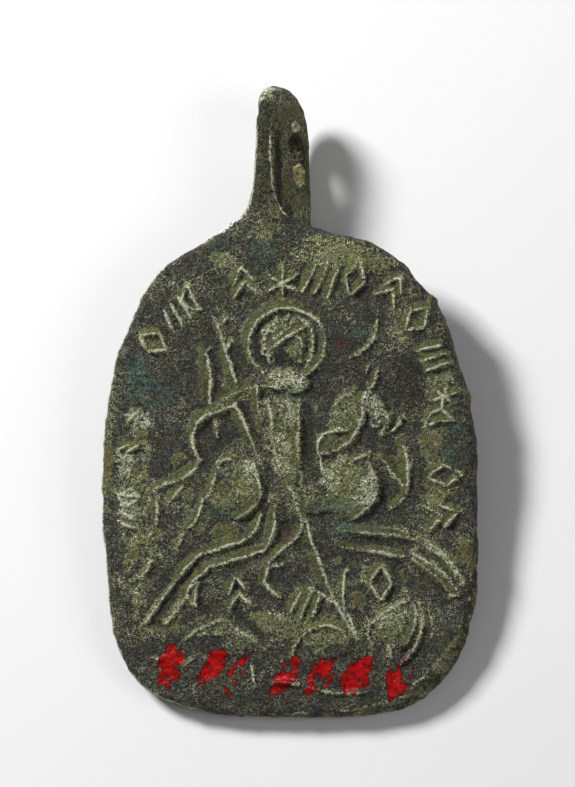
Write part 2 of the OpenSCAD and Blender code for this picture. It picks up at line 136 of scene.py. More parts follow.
HORSE_LINES = [
    # ear, muzzle and mouth
    (7.35, 27.6, 7.1, 26.5, -0.05, 0.36, 1.1, 0.35),
    (7.1, 26.6, 6.5, 26.0, 0.05, 0.3, 0.9, 0.3),
    (6.6, 28.0, 6.3, 27.3, 0.0, 0.26, 0.8, 0.1),
    (8.3, 24.1, 8.15, 23.1, 0.05, 0.4, 1.1, 0.2),
    (8.2, 23.1, 7.75, 22.9, 0.0, 0.28, 0.8, 0.1),
    (7.75, 22.9, 7.7, 22.1, 0.0, 0.36, 1.0, 0.2),
    # bridle
    (9.5, 23.9, 8.3, 22.6, 0.2, 0.28, 0.7, 0.15),
    # cheek, throat and rein
    (6.35, 26.0, 6.1, 24.7, 0.0, 0.3, 0.8, 0.3),
    (6.1, 24.8, 5.85, 23.1, 0.2, 0.38, 1.0, 0.35),
    (5.85, 23.1, 5.0, 21.8, 0.1, 0.62, 1.2, 0.5),
    (5.1, 21.9, 3.7, 21.15, 0.1, 0.42, 1.0, 0.5),
    (3.9, 21.2, 2.3, 20.85, 0.05, 0.34, 0.9, 0.3),
    (2.5, 20.9, 2.8, 19.4, 0.05, 0.32, 0.6, 0.15),
    (5.2, 24.7, 5.75, 23.3, 0.15, 0.26, 0.7, 0.2),
    (5.0, 22.7, 3.2, 22.6, -0.08, 0.28, 0.9, 0.2),
    (3.3, 22.7, 2.4, 21.0, -0.3, 0.3, 0.9, 0.15),
    # mane
    (5.6, 26.2, 4.4, 25.2, 0.1, 0.26, 0.4, 0.2),
    (4.9, 26.0, 3.6, 24.6, 0.1, 0.26, 0.4, 0.2),
    # breast
    (6.8, 21.1, 5.0, 20.1, -0.05, 0.4, 0.5, 0.3),
    (6.6, 20.2, 7.4, 18.0, 0.1, 0.36, 0.5, 0.6),
    (7.4, 18.1, 5.2, 15.6, 0.45, 0.4, 0.7, 0.6),
    # rump and the line of the back
    (-2.8, 21.2, -1.9, 19.3, 0.05, 0.42, 0.35, 0.3),
    (-2.9, 19.9, -2.15, 17.5, 0.25, 0.5, 1.0, 0.7),
    (-2.15, 17.6, -4.2, 15.7, 0.3, 0.42, 0.8, 0.5),
    # flank and inner thigh
    (-4.4, 20.5, -5.7, 20.3, -0.15, 0.38, 0.7, 0.3),
    (-5.6, 20.3, -6.8, 17.1, 0.15, 0.4, 0.8, 0.35),
    (-6.95, 17.3, -8.3, 14.9, 0.35, 0.42, 0.8, 0.4),
    (-8.2, 15.0, -9.1, 13.2, -0.05, 0.34, 0.6, 0.2),
    # tail
    (-9.9, 18.75, -10.95, 18.1, 0.1, 0.42, 0.7, 0.35),
    (-10.9, 18.2, -10.7, 15.4, 0.1, 0.45, 0.7, 0.4),
    (-10.7, 15.6, -11.7, 14.0, 0.1, 0.36, 0.5, 0.2),
    (-11.1, 12.8, -12.9, 10.7, 0.45, 0.32, 0.7, 0.2),
    (-8.3, 18.9, -9.9, 16.9, 0.05, 0.36, 0.5, 0.3),
]
LEG_LINES = [
    # far hind leg
    (-2.2, 16.0, -3.0, 14.4, 0.2, 0.42, 0.9, 0.4),
    (-2.9, 14.4, -7.0, 12.9, 0.1, 0.5, 0.9, 0.55),
    (-6.9, 13.0, -9.1, 10.7, -0.1, 0.46, 0.9, 0.45),
    (-9.0, 10.8, -11.9, 6.9, -0.1, 0.4, 0.8, 0.22),
    # near hind leg
    (-1.1, 16.1, -1.9, 13.1, 0.4, 0.42, 1.0, 0.6),
    (-1.8, 13.2, -6.0, 11.9, -0.05, 0.48, 0.9, 0.55),
    (-5.9, 12.1, -8.0, 10.2, -0.2, 0.46, 0.9, 0.4),
    (-7.9, 10.3, -9.9, 7.4, 0.15, 0.42, 0.7, 0.25),
    # bent foreleg
    (9.35, 21.6, 9.75, 17.7, 0.3, 0.48, 0.9, 0.9),
    (9.8, 17.9, 8.4, 16.6, 0.15, 0.42, 0.7, 0.35),
    (7.8, 20.4, 9.5, 18.3, -0.1, 0.55, 0.7, 0.5),
    # far foreleg: its lower and upper edge
    (4.2, 14.8, 9.7, 14.2, 0.05, 0.4, 0.8, 0.45),
    (9.7, 14.2, 14.0, 10.7, 0.58, 0.34, 0.5, 0.25),
    (7.6, 15.0, 10.7, 14.3, 0.15, 0.28, 0.4, 0.15),
    (10.7, 14.3, 14.4, 10.6, 0.4, 0.36, 0.9, 0.25),
    (13.9, 10.5, 14.4, 10.5, 0.0, 0.32, 0.8, 0.1),
    # near foreleg: its lower and upper edge
    (3.7, 13.8, 6.1, 13.15, -0.1, 0.34, 0.6, 0.3),
    (6.0, 13.15, 9.9, 12.6, 0.05, 0.4, 0.8, 0.45),
    (9.9, 12.6, 13.2, 9.6, 0.4, 0.34, 0.5, 0.3),
    (10.2, 12.9, 13.9, 9.8, 0.42, 0.42, 0.9, 0.25),
    (13.2, 9.5, 13.95, 9.6, 0.0, 0.34, 0.8, 0.1),
]
FALLEN_LINES = [
    # raised knee
    (-8.6, 6.0, -5.1, 7.7, 0.25, 0.36, 0.5, 0.2),
    (-5.2, 7.7, -1.6, 5.1, 0.1, 0.36, 0.4, 0.2),
    (-7.3, 6.5, -4.9, 6.5, 0.05, 0.26, 0.6, 0.1),
    # body and belt
    (1.15, 6.3, 5.0, 6.5, 0.75, 0.34, 0.7, 0.3),
    (1.2, 6.4, 0.5, 4.4, -0.1, 0.28, 0.6, 0.1),
    # shins and feet
    (-11.2, 4.7, -9.9, 4.5, 0.0, 0.3, 0.6, 0.1),
    (-7.2, 5.1, -8.6, 4.0, 0.1, 0.32, 0.5, 0.15),
    (-2.95, 4.4, -2.6, 2.4, 0.05, 0.28, 0.7, 0.1),
    # ground line
    (-1.5, 2.6, 1.6, 2.5, 0.1, 0.3, 0.9, 0.1),
    (1.5, 2.5, 6.7, 2.1, -0.5, 0.3, 0.9, 0.1),
    # headdress of the fallen figure
    (10.3, 9.1, 9.4, 5.4, 0.6, 0.34, 1.0, 0.3),
    (10.7, 9.3, 9.3, 4.1, 0.95, 0.36, 1.0, 0.2),
    (6.7, 7.2, 10.0, 9.2, 0.3, 0.28, 0.6, 0.15),
    (11.4, 8.7, 11.8, 6.2, 0.15, 0.3, 0.4, 0.3),
    (6.8, 7.2, 7.3, 5.3, -0.3, 0.24, 0.5, 0.1),
    (8.2, 5.9, 8.5, 4.6, 0.05, 0.34, 0.6, 0.2),
    # brow, nose and mouth of the fallen head, plain
    (7.6, 7.6, 8.2, 7.9, 0.08, 0.24, 0.5, 0.1),
    (7.5, 6.9, 7.9, 7.3, 0.0, 0.24, 0.5, 0.1),
    (7.9, 6.2, 8.4, 6.4, 0.05, 0.22, 0.5, 0.1),
]

# Rows of the oval table: middle x and y, radii, angles where the line starts and ends, width, share, flank
OVAL_LINES = [
    (-0.12, 29.7, 3.15, 2.85, -60, 234, 0.42, 1.0, 0.65),
    (-0.08, 29.7, 2.13, 2.4, -42, 80, 0.34, 0.8, 0.15),
    (4.85, 31.3, 2.3, 2.7, -88, 12, 0.32, 0.7, 0.2),
    # curls
    (-1.94, 30.65, 0.24, 0.26, 0, 359, 0.22, 0.7, 0.08),
    (-1.26, 30.95, 0.28, 0.26, 0, 359, 0.22, 0.7, 0.08),
    (-2.0, 29.8, 0.24, 0.26, 0, 359, 0.22, 0.7, 0.08),
    (-1.9, 29.05, 0.26, 0.24, 0, 359, 0.24, 0.8, 0.08),
    (-1.42, 28.5, 0.24, 0.24, 0, 359, 0.24, 0.8, 0.08),
    # nostril and lip of the horse
    (7.1, 23.4, 0.34, 0.4, 120, 440, 0.24, 0.45, 0.08),
]

# Rows of the mass table: middle x and y, radii, turn in degrees, and share of the mass height
MASSES = [
    # rider's head, collar, body and thigh
    (-0.3, 30.0, 1.9, 1.9, 0, 0.9),
    (-0.1, 26.8, 2.0, 0.9, 4, 1.1),
    (-0.1, 22.0, 1.4, 3.9, 3, 1.1),
    (-0.3, 17.2, 1.4, 1.8, 0, 0.8),
    # horse's head, neck, breast, barrel and rump
    (7.2, 24.5, 0.9, 1.65, 28, 1.6),
    (4.9, 24.3, 1.5, 2.0, -20, 1.0),
    (3.3, 21.8, 0.9, 0.7, 20, 0.8),
    (5.0, 18.2, 2.7, 2.6, 0, 1.3),
    (2.2, 17.3, 1.8, 1.3, 0, 1.0),
    (-4.2, 18.0, 2.4, 2.3, 20, 1.0),
    # fallen figure's head, chest and hip
    (8.9, 7.0, 1.6, 1.9, 10, 0.8),
    (3.4, 5.6, 2.2, 1.0, 0, 0.6),
    (-5.1, 5.9, 2.6, 1.2, -10, 0.6),
]

# Rows of the limb table, for filled parts between two lines: middle x and y, radii, turn, and strength
LIMBS = [
    # lower parts of the forelegs, and the upper parts of the hind legs
    (12.6, 12.15, 2.3, 0.34, -47, 0.9),
    (11.9, 11.25, 2.3, 0.4, -43, 0.9),
    (7.0, 14.9, 2.6, 0.3, -3, 0.6),
    (7.4, 13.3, 2.4, 0.24, -5, 0.6),
    # flanks of the spear and the pennon
    (2.1, 12.2, 2.7, 0.32, -69, 0.8),
    (-4.0, 23.1, 2.1, 0.36, -67, 0.8),
    (-5.1, 27.7, 1.7, 0.3, -68, 0.8),
    (-7.2, 27.1, 0.34, 2.1, 3, 0.8),
    # arm, and the band behind the horse's breast
    (-5.2, 25.2, 1.9, 0.45, 32, 0.9),
    (8.4, 19.8, 1.1, 0.4, -48, 0.9),
    # band of the cloak
    (-2.6, 24.1, 0.38, 1.7, 14, 0.95),
]

# Kinds of border mark, each drawn in a square of two units: start, end, bow and width of each stroke
MARK_KINDS = {
    "hatch": [(-0.9, -0.8, -0.3, 0.9, 0, 1), (-0.2, -0.9, 0.3, 0.9, 0, 1), (0.5, -0.9, 0.9, 0.8, 0, 1)],
    "chevrons": [
        (-0.7, -0.8, 0.05, 0.1, 0, 1),
        (-0.05, 0.1, 0.7, -0.8, 0, 1),
        (-0.6, 0.0, 0.05, 0.95, 0, 1),
        (-0.05, 0.95, 0.6, 0.0, 0, 1),
    ],
    "lozenge": [
        (0, 1, 0.65, 0, 0, 1),
        (0.65, 0, 0, -1, 0, 1),
        (0, -1, -0.65, 0, 0, 1),
        (-0.65, 0, 0, 1, 0, 1),
    ],
    "star": [(0, -1, 0, 1, 0, 1), (-0.85, -0.5, 0.85, 0.5, 0, 1), (-0.85, 0.5, 0.85, -0.5, 0, 1)],
    "crescent": [(-0.5, 0.9, -0.5, -0.9, -0.8, 1), (-0.5, 0.9, -0.5, -0.9, -0.2, 0.8)],
}

# Rows of the border table: middle x and y, turn in degrees, size and kind of each mark
BORDER = [
    # up the left side
    (-13.1, 15.9, 84, 1.0, "hatch"),
    (-13.0, 18.3, 84, 1.1, "crescent"),
    (-13.1, 21.0, 82, 1.1, "chevrons"),
    (-12.7, 24.0, 76, 0.8, "star"),
    (-11.1, 29.9, 60, 1.3, "lozenge"),
    (-9.3, 32.1, 45, 1.3, "hatch"),
    (-7.1, 33.9, 30, 1.4, "crescent"),
    # over the top
    (-3.7, 34.6, 12, 1.5, "chevrons"),
    (-0.5, 34.6, 0, 1.5, "star"),
    (2.5, 34.7, -8, 1.5, "hatch"),
    (5.4, 34.8, -16, 1.4, "lozenge"),
    (8.4, 33.9, -32, 1.4, "chevrons"),
    # down the right side
    (10.5, 31.6, -46, 1.3, "lozenge"),
    (11.8, 28.6, -60, 1.3, "hatch"),
    (12.7, 25.4, -70, 1.3, "star"),
    (12.5, 22.3, -78, 1.5, "crescent"),
    (12.8, 19.1, -84, 1.4, "lozenge"),
    (12.5, 15.9, -80, 1.6, "chevrons"),
    # between the horse's legs
    (-6.6, 9.6, -10, 1.2, "crescent"),
    (-3.9, 9.7, 10, 1.5, "chevrons"),
    (1.5, 8.9, -8, 1.3, "hatch"),
    (7.7, 10.6, 0, 1.4, "lozenge"),
]

# Rows of the hollow table: middle x and y, radii, turn in degrees, and depth of each recess and darkness of
# the painted shade in it
HOLLOWS = [
    (-5.4, 22.2, 1.9, 1.6, 20, 0.1, 0.5),
    (-7.2, 8.0, 2.1, 0.42, 27, 0.08, 0.95),
    (-2.9, 7.2, 1.9, 0.36, -40, 0.08, 0.95),
    (7.2, 5.6, 1.1, 0.38, -45, 0.06, 0.8),
    (11.5, 5.0, 1.1, 1.1, 0, 0.02, 0.55),
    (-5.75, 27.2, 0.35, 1.8, 12, 0.06, 0.8),
    (-7.8, 27.4, 0.28, 1.7, 4, 0.04, 0.5),
    (-2.35, 29.7, 0.35, 1.8, 0, 0.06, 0.9),
    (1.9, 22.6, 0.42, 3.5, 4, 0.1, 0.65),
    (2.6, 25.6, 0.9, 1.0, 30, 0.05, 0.6),
    (2.4, 19.0, 0.7, 0.9, 0, 0.06, 0.55),
    (2.9, 18.0, 0.9, 0.32, -30, 0.05, 0.9),
    (7.95, 18.1, 0.45, 1.7, 8, 0.07, 0.8),
    (7.3, 21.6, 0.9, 0.8, 0, 0.05, 0.7),
    (-3.4, 23.6, 0.3, 1.5, 15, 0.08, 0.9),
    (-1.4, 19.0, 0.3, 1.4, 0, 0.04, 0.7),
    (-0.2, 15.4, 0.6, 1.6, 0, 0.06, 0.8),
    (-5.3, 13.4, 2.5, 0.3, 16, 0.06, 0.5),
    (-8.6, 10.4, 1.9, 0.28, 50, 0.06, 0.4),
    (8.0, 13.7, 3.4, 0.3, -3, 0.08, 0.9),
    (13.05, 11.4, 1.5, 0.2, -50, 0.06, 0.8),
    (11.1, 12.25, 0.95, 0.1, -28, 0.05, 0.9),
    (2.6, 8.4, 1.6, 0.3, 0, 0.04, 0.6),
    (5.9, 7.3, 0.5, 1.0, 0, 0.05, 0.6),
    (-0.5, 28.4, 0.75, 0.55, 10, 0.08, 1.0),
    (-1.7, 28.0, 0.7, 0.4, -30, 0.05, 0.8),
    (-10.6, 7.3, 0.7, 0.5, -20, 0.04, 0.9),
    (-7.3, 6.9, 2.0, 0.45, 22, 0.03, 0.9),
    (2.4, 29.3, 0.3, 1.2, 0, 0.05, 0.6),
]

# Rows of the stain tables, by kind: middle x and y, radii, turn in degrees, and strength
STAINS = {
    # pale dust
    "pale": [
        (7.2, 24.6, 0.8, 1.5, 28, 0.38),
        (0.4, 24.0, 0.7, 1.8, 0, 0.32),
        (-0.2, 20.6, 1.0, 1.8, 0, 0.3),
        (6.5, 17.6, 1.2, 1.5, -20, 0.42),
        (3.6, 18.6, 1.2, 1.2, 0, 0.3),
        (0.2, 26.7, 1.6, 0.8, 0, 0.4),
        (-2.9, 19.4, 0.6, 1.2, 15, 0.4),
        (-13.2, 20.2, 1.0, 1.4, 0, 0.42),
        (-12.9, 17.0, 1.1, 1.8, 0, 0.42),
        (8.9, 7.8, 1.2, 0.9, 30, 0.36),
        (-12.0, 23.7, 1.1, 0.8, 0, 0.5),
    ],
    # yellow-olive dust on the broad forms and on the plain field
    "olive": [
        (0.0, 26.8, 1.9, 0.9, 3, 0.9),
        (-0.2, 22.2, 1.3, 3.8, 3, 0.6),
        (4.7, 24.1, 1.5, 2.0, -18, 0.6),
        (3.4, 21.8, 0.9, 0.6, 20, 0.9),
        (5.1, 18.3, 2.5, 2.6, 0, 0.8),
        (-3.9, 18.8, 1.8, 1.5, 20, 0.7),
        (8.6, 7.6, 1.7, 1.3, 30, 0.9),
        (8.9, 5.7, 1.5, 1.0, 60, 0.5),
        (7.4, 6.2, 0.8, 1.0, 0, 0.6),
        (0.5, 29.3, 0.8, 1.4, 0, 0.9),
        (3.2, 5.8, 2.2, 0.8, 0, 0.4),
        (-1.6, 7.4, 1.6, 0.9, 0, 0.7),
        (5.2, 36.6, 4.4, 1.5, -12, 0.55),
        (-2.2, 37.6, 1.7, 1.2, 0, 0.5),
        (-5.6, 36.4, 0.9, 0.7, 0, 0.8),
        (10.2, 31.0, 2.6, 2.6, 0, 0.35),
        (12.6, 25.0, 1.6, 3.2, 0, 0.65),
        (12.2, 17.0, 1.8, 3.2, 0, 0.65),
        (-12.6, 18.2, 1.8, 5.4, 0, 0.45),
        (-11.9, 13.2, 1.8, 1.8, 0, 0.5),
        (-12.4, 8.5, 1.3, 2.4, 10, 0.35),
        (-7.2, 15.2, 1.5, 1.0, 0, 0.4),
        (9.9, 10.5, 0.6, 1.3, 0, 0.5),
        (6.6, 10.6, 0.5, 1.2, 10, 0.8),
        (-4.2, 26.2, 1.4, 0.7, 15, 0.9),
        (10.0, 11.5, 1.1, 0.8, -35, 0.45),
        (8.2, 11.4, 0.4, 0.4, 0, 0.7),
        (-1.6, 7.5, 1.5, 0.6, 0, 0.7),
        (-5.85, 22.9, 0.3, 0.7, 0, 1.0),
    ],
    # small yellow-green spots
    "moss": [
        (5.4, 36.6, 3.8, 1.6, -14, 0.36),
        (-8.0, 7.2, 5.0, 1.2, 0, 0.36),
        (2.0, 6.8, 6.0, 1.3, 0, 0.38),
        (-1.6, 7.4, 1.2, 0.6, 0, 0.7),
        (-1.4, 38.9, 0.9, 0.5, -10, 0.7),
        (-1.0, 40.2, 0.6, 0.6, 0, 0.7),
        (-5.2, 17.8, 0.8, 0.6, 20, 1.0),
        (-4.5, 14.6, 0.55, 0.5, 0, 0.9),
        (-5.5, 14.6, 0.5, 0.45, 0, 0.9),
        (-10.3, 14.3, 0.6, 0.5, 0, 0.8),
        (-12.5, 12.7, 0.6, 0.5, 0, 0.8),
        (-7.2, 14.8, 0.5, 0.45, 0, 0.8),
        (-8.1, 17.6, 0.6, 0.5, 0, 0.8),
        (-9.0, 20.4, 0.7, 0.4, 20, 0.6),
        (-4.3, 17.0, 0.8, 0.6, 0, 0.6),
        (6.0, 25.2, 0.5, 0.5, 0, 0.7),
        (5.6, 18.8, 0.6, 0.5, 0, 0.5),
        (8.6, 20.2, 0.4, 0.5, 0, 0.6),
        (13.7, 18.4, 0.5, 0.6, 0, 0.6),
        (12.0, 17.3, 0.9, 0.8, 0, 0.5),
        (-13.3, 21.2, 0.5, 0.5, 0, 0.8),
        (-11.6, 30.2, 0.8, 0.8, 0, 0.5),
        (7.9, 7.6, 0.8, 0.5, 30, 0.5),
        (0.6, 29.0, 0.5, 0.8, 0, 0.5),
    ],
    # darker parts of the field, and painted shade in the gaps between forms
    "dark": [
        (8.5, 25.9, 0.7, 1.5, -35, 0.7),
        (5.6, 27.4, 2.4, 1.2, 0, 0.6),
        (10.0, 26.2, 1.6, 2.4, 10, 1.0),
        (8.5, 20.3, 0.6, 1.1, 0, 0.6),
        (-10.0, 32.3, 1.7, 1.7, 0, 0.4),
        (-1.5, 37.2, 2.8, 0.7, 0, 0.36),
        (12.2, 6.4, 1.6, 2.2, 0, 0.2),
        (9.3, 22.6, 1.5, 0.9, 0, 0.5),
        (10.9, 18.9, 0.8, 2.2, 0, 0.5),
        (-8.6, 27.4, 1.6, 2.6, 10, 0.35),
        (-7.2, 31.6, 2.6, 1.5, 40, 0.4),
        (-1.6, 34.2, 1.3, 1.4, 0, 0.4),
        (0.8, 2.6, 13.0, 2.6, 0, 0.45),
        (-8.0, 5.2, 4.2, 2.4, 10, 0.4),
        (10.9, 5.0, 1.8, 1.8, 0, 0.5),
        (-3.6, 10.6, 2.8, 1.5, 15, 0.4),
        (3.4, 12.4, 1.2, 2.6, -15, 0.35),
        (7.6, 9.4, 1.2, 0.7, 0, 0.4),
        (-6.6, 30.2, 0.9, 1.6, 15, 0.55),
        (-4.0, 33.2, 2.2, 0.5, 20, 0.45),
        (-3.9, 28.8, 0.5, 1.4, 0, 0.6),
        (-3.3, 23.8, 0.4, 1.4, 20, 0.6),
    ],
    # verdigris
    "teal": [
        (-12.5, 27.5, 1.2, 1.1, 0, 0.9),
        (-12.0, 26.1, 1.3, 1.0, 20, 0.8),
        (-10.6, 25.4, 1.6, 1.5, 0, 0.5),
        (3.6, 16.4, 2.2, 1.0, 0, 0.55),
        (5.1, 14.7, 1.2, 0.6, 0, 0.8),
        (-5.2, 16.2, 1.8, 0.9, 0, 0.45),
        (6.0, 30.4, 1.3, 0.7, 0, 0.45),
        (13.1, 20.6, 0.7, 1.0, 0, 0.5),
        (13.8, 22.8, 0.6, 1.1, 0, 0.5),
        (13.9, 24.8, 0.6, 1.0, 0, 0.45),
        (10.7, 15.8, 0.8, 0.9, 0, 0.5),
        (-7.1, 10.2, 0.4, 0.4, 0, 0.7),
        (7.4, 14.6, 1.8, 0.6, -6, 0.4),
        (-2.0, 36.8, 1.2, 1.6, 0, 0.45),
        (0.8, 25.5, 0.8, 0.4, 0, 0.7),
        (2.7, 30.3, 0.5, 0.7, 0, 0.8),
        (-5.6, 37.4, 1.0, 0.7, 30, 0.4),
    ],
    # red-brown traces
    "red": [
        (-10.3, 21.8, 0.6, 0.6, 0, 0.5),
        (4.4, 29.6, 0.5, 0.55, 0, 0.9),
        (5.4, 29.6, 0.5, 0.35, 0, 0.8),
        (4.7, 28.2, 0.42, 0.4, 0, 1.0),
        (0.1, 14.6, 0.7, 1.2, 0, 0.55),
        (2.7, 14.1, 0.9, 0.7, 0, 0.5),
        (2.0, 19.9, 0.5, 0.6, 0, 0.5),
        (-6.0, 12.3, 0.9, 0.5, 20, 0.35),
        (1.9, 22.8, 0.6, 1.0, 0, 0.4),
    ],
    # crusts, also over the edge of the plate and on the neck
    "crust": [
        (11.7, 21.6, 1.0, 1.5, 0, 0.5),
        (12.3, 23.4, 0.5, 0.6, 0, 0.6),
        (14.1, 29.6, 0.45, 1.0, 0, 0.9),
        (14.6, 25.2, 0.32, 0.7, 0, 0.6),
        (12.0, 33.2, 0.6, 0.5, 0, 0.8),
        (14.7, 12.9, 0.8, 1.9, 0, 0.55),
        (-14.6, 20.0, 0.4, 5.0, 0, 0.5),
        (-12.2, 22.0, 0.8, 0.8, 0, 0.5),
        (-11.6, 25.2, 0.6, 0.5, 0, 0.42),
        (-1.5, 39.1, 0.8, 0.45, -10, 0.55),
        (5.9, 9.1, 0.6, 0.6, 0, 0.65),
        (4.3, 12.2, 0.4, 0.3, 0, 0.7),
    ],
    # white chalky spots
    "white": [
        (-5.5, 38.85, 1.35, 0.34, 31, 1.2),
        (2.5, 8.1, 0.22, 0.16, 0, 1.0),
    ],
}

# Worn brush dabs: middle x and y, half length and half width, turn in degrees, and strength
PAINT_DABS = [
    (-9.3, 3.9, 2.0, 1.1, 62, 0.9),
    (-5.9, 3.7, 1.8, 0.75, 58, 1.0),
    (-4.0, 3.0, 1.8, 0.7, 66, 0.95),
    (0.2, 3.2, 1.8, 0.95, 55, 0.95),
    (3.0, 3.0, 1.7, 0.9, 60, 1.0),
    (6.0, 3.0, 1.9, 1.0, 57, 0.95),
    (9.2, 2.8, 1.7, 1.0, 64, 0.95),
]

# Rows of the outline table: middle x and y, radius, and push outwards of the plate's edge there
NUDGES = [
    (-10.8, 34.8, 3.6, 0.55),
    (-14.0, 28.5, 3.0, 0.2),
    (4.2, 38.7, 2.6, -0.5),
    (8.0, 37.0, 1.6, -0.15),
    (10.6, 34.9, 1.7, -0.42),
    (14.4, 29.0, 2.8, -0.34),
    (-14.7, 10.8, 4.3, -0.4),
    (-11.6, 1.7, 2.4, 0.12),
    (0.0, 0.0, 7.0, 0.22),
    (9.2, 0.8, 3.4, 0.42),
    (12.8, 3.8, 3.0, 0.22),
    (15.0, 9.4, 4.0, 0.28),
]

# Rows of the unevenness tables: height, cell and seed of each layer of noise
WAVER_ACROSS = [(0.08, 1.3, 61), (0.03, 0.45, 63)]
WAVER_UP = [(0.08, 1.3, 62), (0.03, 0.45, 64)]
LINE_WEAR = [(0.25, 1.1, 51), (0.10, 0.4, 52)]
CREST_BREADTH = [(0.35, 0.8, 53)]
STAIN_EDGES = [(0.30, 0.7, 21), (0.22, 0.25, 22)]
PAINT_WEAR = [(1.0, 0.8, 23), (0.8, 0.25, 24)]
EDGE_NICKS = [(0.06, 1.7, 31), (0.06, 0.5, 32)]
BACK_WAVES = [(0.12, 6.0, 33)]
RAGGED_WEAR = [(0.5, 0.5, 41)]
BEVEL_WAVER = [(0.22, 1.3, 42), (0.08, 0.4, 43)]
SKIN_GRAIN = [(0.050, 2.4, 5), (0.040, 1.1, 6), (0.030, 0.55, 7), (0.024, 0.28, 8), (0.012, 0.16, 9)]

# Pits that the casting's skin is dented by
PIT_COUNT = 320
PIT_SEED = 11
PIT_RADIUS = (0.08, 0.30)
PIT_DEPTH = 0.09
PIT_SHALLOWEST = 0.3
PIT_RIM = (1.2, 0.2)

# Flank of a border mark's strokes
MARK_FLANK = 0.5

# Least strength of a line at its ends, and of a line that is wider than the width given
LINE_TIP = 0.35
STRONG_WIDTH, STRONG_TIP = 0.41, 0.75
# Reach of a line's sides in millimetres, as a base and a share of half its width or of its flank
STEEP_SIDE = (0.12, 0.7)
RIDGE_SIDE = (0.12, 0.6)
CREST_SIDE = (0.08, 0.2)
GENTLE_SIDE = (0.12, 0.85)
# What is added to the steep side of a line that is wider than the width given
BROAD_WIDTH, BROAD_STEEPER = 0.3, 0.08
# Part of the way round a line that is gentle, and the flank from which it is smooth too
GENTLE_WAY = (-0.1, 0.9)
SMOOTH_FLANK = 0.28
# Strength of a line's crest and flank colours, as a base and a share of its height
CREST_STRENGTH = (0.35, 0.6)
FLANK_STRENGTH = (0.4, 0.6)
# Colour that blooms round a line: strength, how far past the line, and the shares where it starts and is full
BLOOM, BLOOM_PAST, BLOOM_EDGE = 0.6, 0.25, (1, 0.3)
FLANK_EDGE = (-0.06, 0.10)
# Painted shade at the foot of a line, a painted shadow on its steep side away from the light and darkening at
# the foot of its gentle side: how far past it, and width and strength on its steep and on its gentle side
SHADE_PAST = 0.16
STEEP_SHADE, STEEP_SHADE_WIDTH, STEEP_SHADE_BY_RISE = 0.55, 0.30, 1.2
GENTLE_SHADE, GENTLE_SHADE_WIDTH = 0.6, 0.15
# Share of the sharp ridge in a line's height, and how much of the painted shade its crest and flank cover
RIDGE_SHARE = 0.5
CREST_COVERS, FLANK_COVERS, COVERED_FROM = 1.3, 1.4, 0.6

# Radii of an oval where its mask starts and where it is full
MASS_RIM = (1.08, 0.80)
LIMB_RIM = (1.15, 0.75)
HOLLOW_RIM = (1.35, 0.60)
STAIN_RIM = (1.35, 0.45)
PAINT_RIM = (1.03, 0.93)
# Share of a limb's strength that raises the face, and of the mass that is lost under a line
LIMB_MASS = 0.7
MASS_LOST = 0.35
# How fast a line's height clears a hollow, how ragged a dab is, and the olive dust on the masses
LINE_CLEARS = 2
PAINT_RAGGED = 0.9
MASS_OLIVE = 0.55
# Depth of the groove under the painted shade beside a line, and what each kind of stain adds to the face
LEE_GROOVE_DEPTH = 0.07
STAIN_RISES = {"crust": 0.12, "olive": 0.03, "moss": 0.06, "white": 0.10, "paint": 0.02}
# Range of the noise in which the paint is worn away
PAINT_WORN = (-0.75, -0.35)

# Most triangles in the casting, and the plain back that is thinned: its thickness, and how far it ends below
# the plate's top
TRIANGLES = 190000
PLAIN_BACK, PLAIN_BELOW = 0.45, 3.2

# Masks of the finish that the mesh carries
MASK_NAMES = (*STAINS, "paint", "scale", "bevel", "slope")

# The curve over the lug: depth of its highest point, its rise over the plain lug, its drop to the front and
# to the back, and the squareness of its back part
TIP_AT = 1.8
TIP_RISE = 0.2
TIP_FRONT = 1.5
TIP_BACK = 5.2
TIP_SQUARE = 2.4

# Rounding of the lug's edges, also as a share of half its thickness
LUG_ROUND = 0.7
LUG_ROUND_SHARE = 0.9
# Heights over the plate's top and below the lug's top between which a part of the lug fades in and out
GROOVE_SPAN = ((-0.4, 0.6), (3.0, 4.2))
GROOVE_SHADE_SPAN = ((-0.4, 0.3), (2.9, 4.0))
RIDGE_SPAN = ((-0.2, 0.8), (2.7, 3.7))
# Groove and lip down the right of the lug, and the dip down its front: place, width, and depth or height
GROOVE_AT, GROOVE_WIDTH, GROOVE_DEPTH = 0.90, 0.45, 0.26
LIP_AT, LIP_WIDTH, LIP_HEIGHT = 0.18, 0.25, 0.06
DIP_WIDTH, DIP_DEPTH = 0.55, 0.10
# Lean of the bore, how much and over what way it narrows to the left, and its rounding
BORE_LEAN = 0.50
BORE_NARROWER, BORE_NARROWS = 0.25, 0.8
BORE_ROUND = 0.25
# Worn mouth of the bore: its drop below the bore, its radii, and its rounding
MOUTH_DROP = 0.5
MOUTH_HIGH, MOUTH_WIDE, MOUTH_DEEP = 2.7, 1.75, 0.42
MOUTH_ROUND = 0.2

# Fillets that spread the lug into the plate's shoulder, how deep behind the face they go and fade, and their
# share behind that
NECK_FILLET = 3.6
WEB_DEPTH = 1.0
WEB_FADE = 0.4
BACK_FILLET = 0.25
# The neck: how much slimmer than the lug it gets, between which heights over the plate, its shift to the
# left, and how far below the lug's top it ends
NECK_SLIMMER, NECK_SLIMS = 0.18, (1.8, 6.3)
NECK_LEFT = 0.05
NECK_ENDS = 2.4
# Rounding where the lug meets the plate, what a crust adds to the plate's edge, and room over the lines
LUG_FILLET = 0.25
CRUST_SWELL = 0.25
ROOM_OVER_LINES = 2.2
# Room round the casting in steps of the grid, and room below the gusset
ROOM_STEPS = 3
ROOM_BELOW_GUSSET = 1

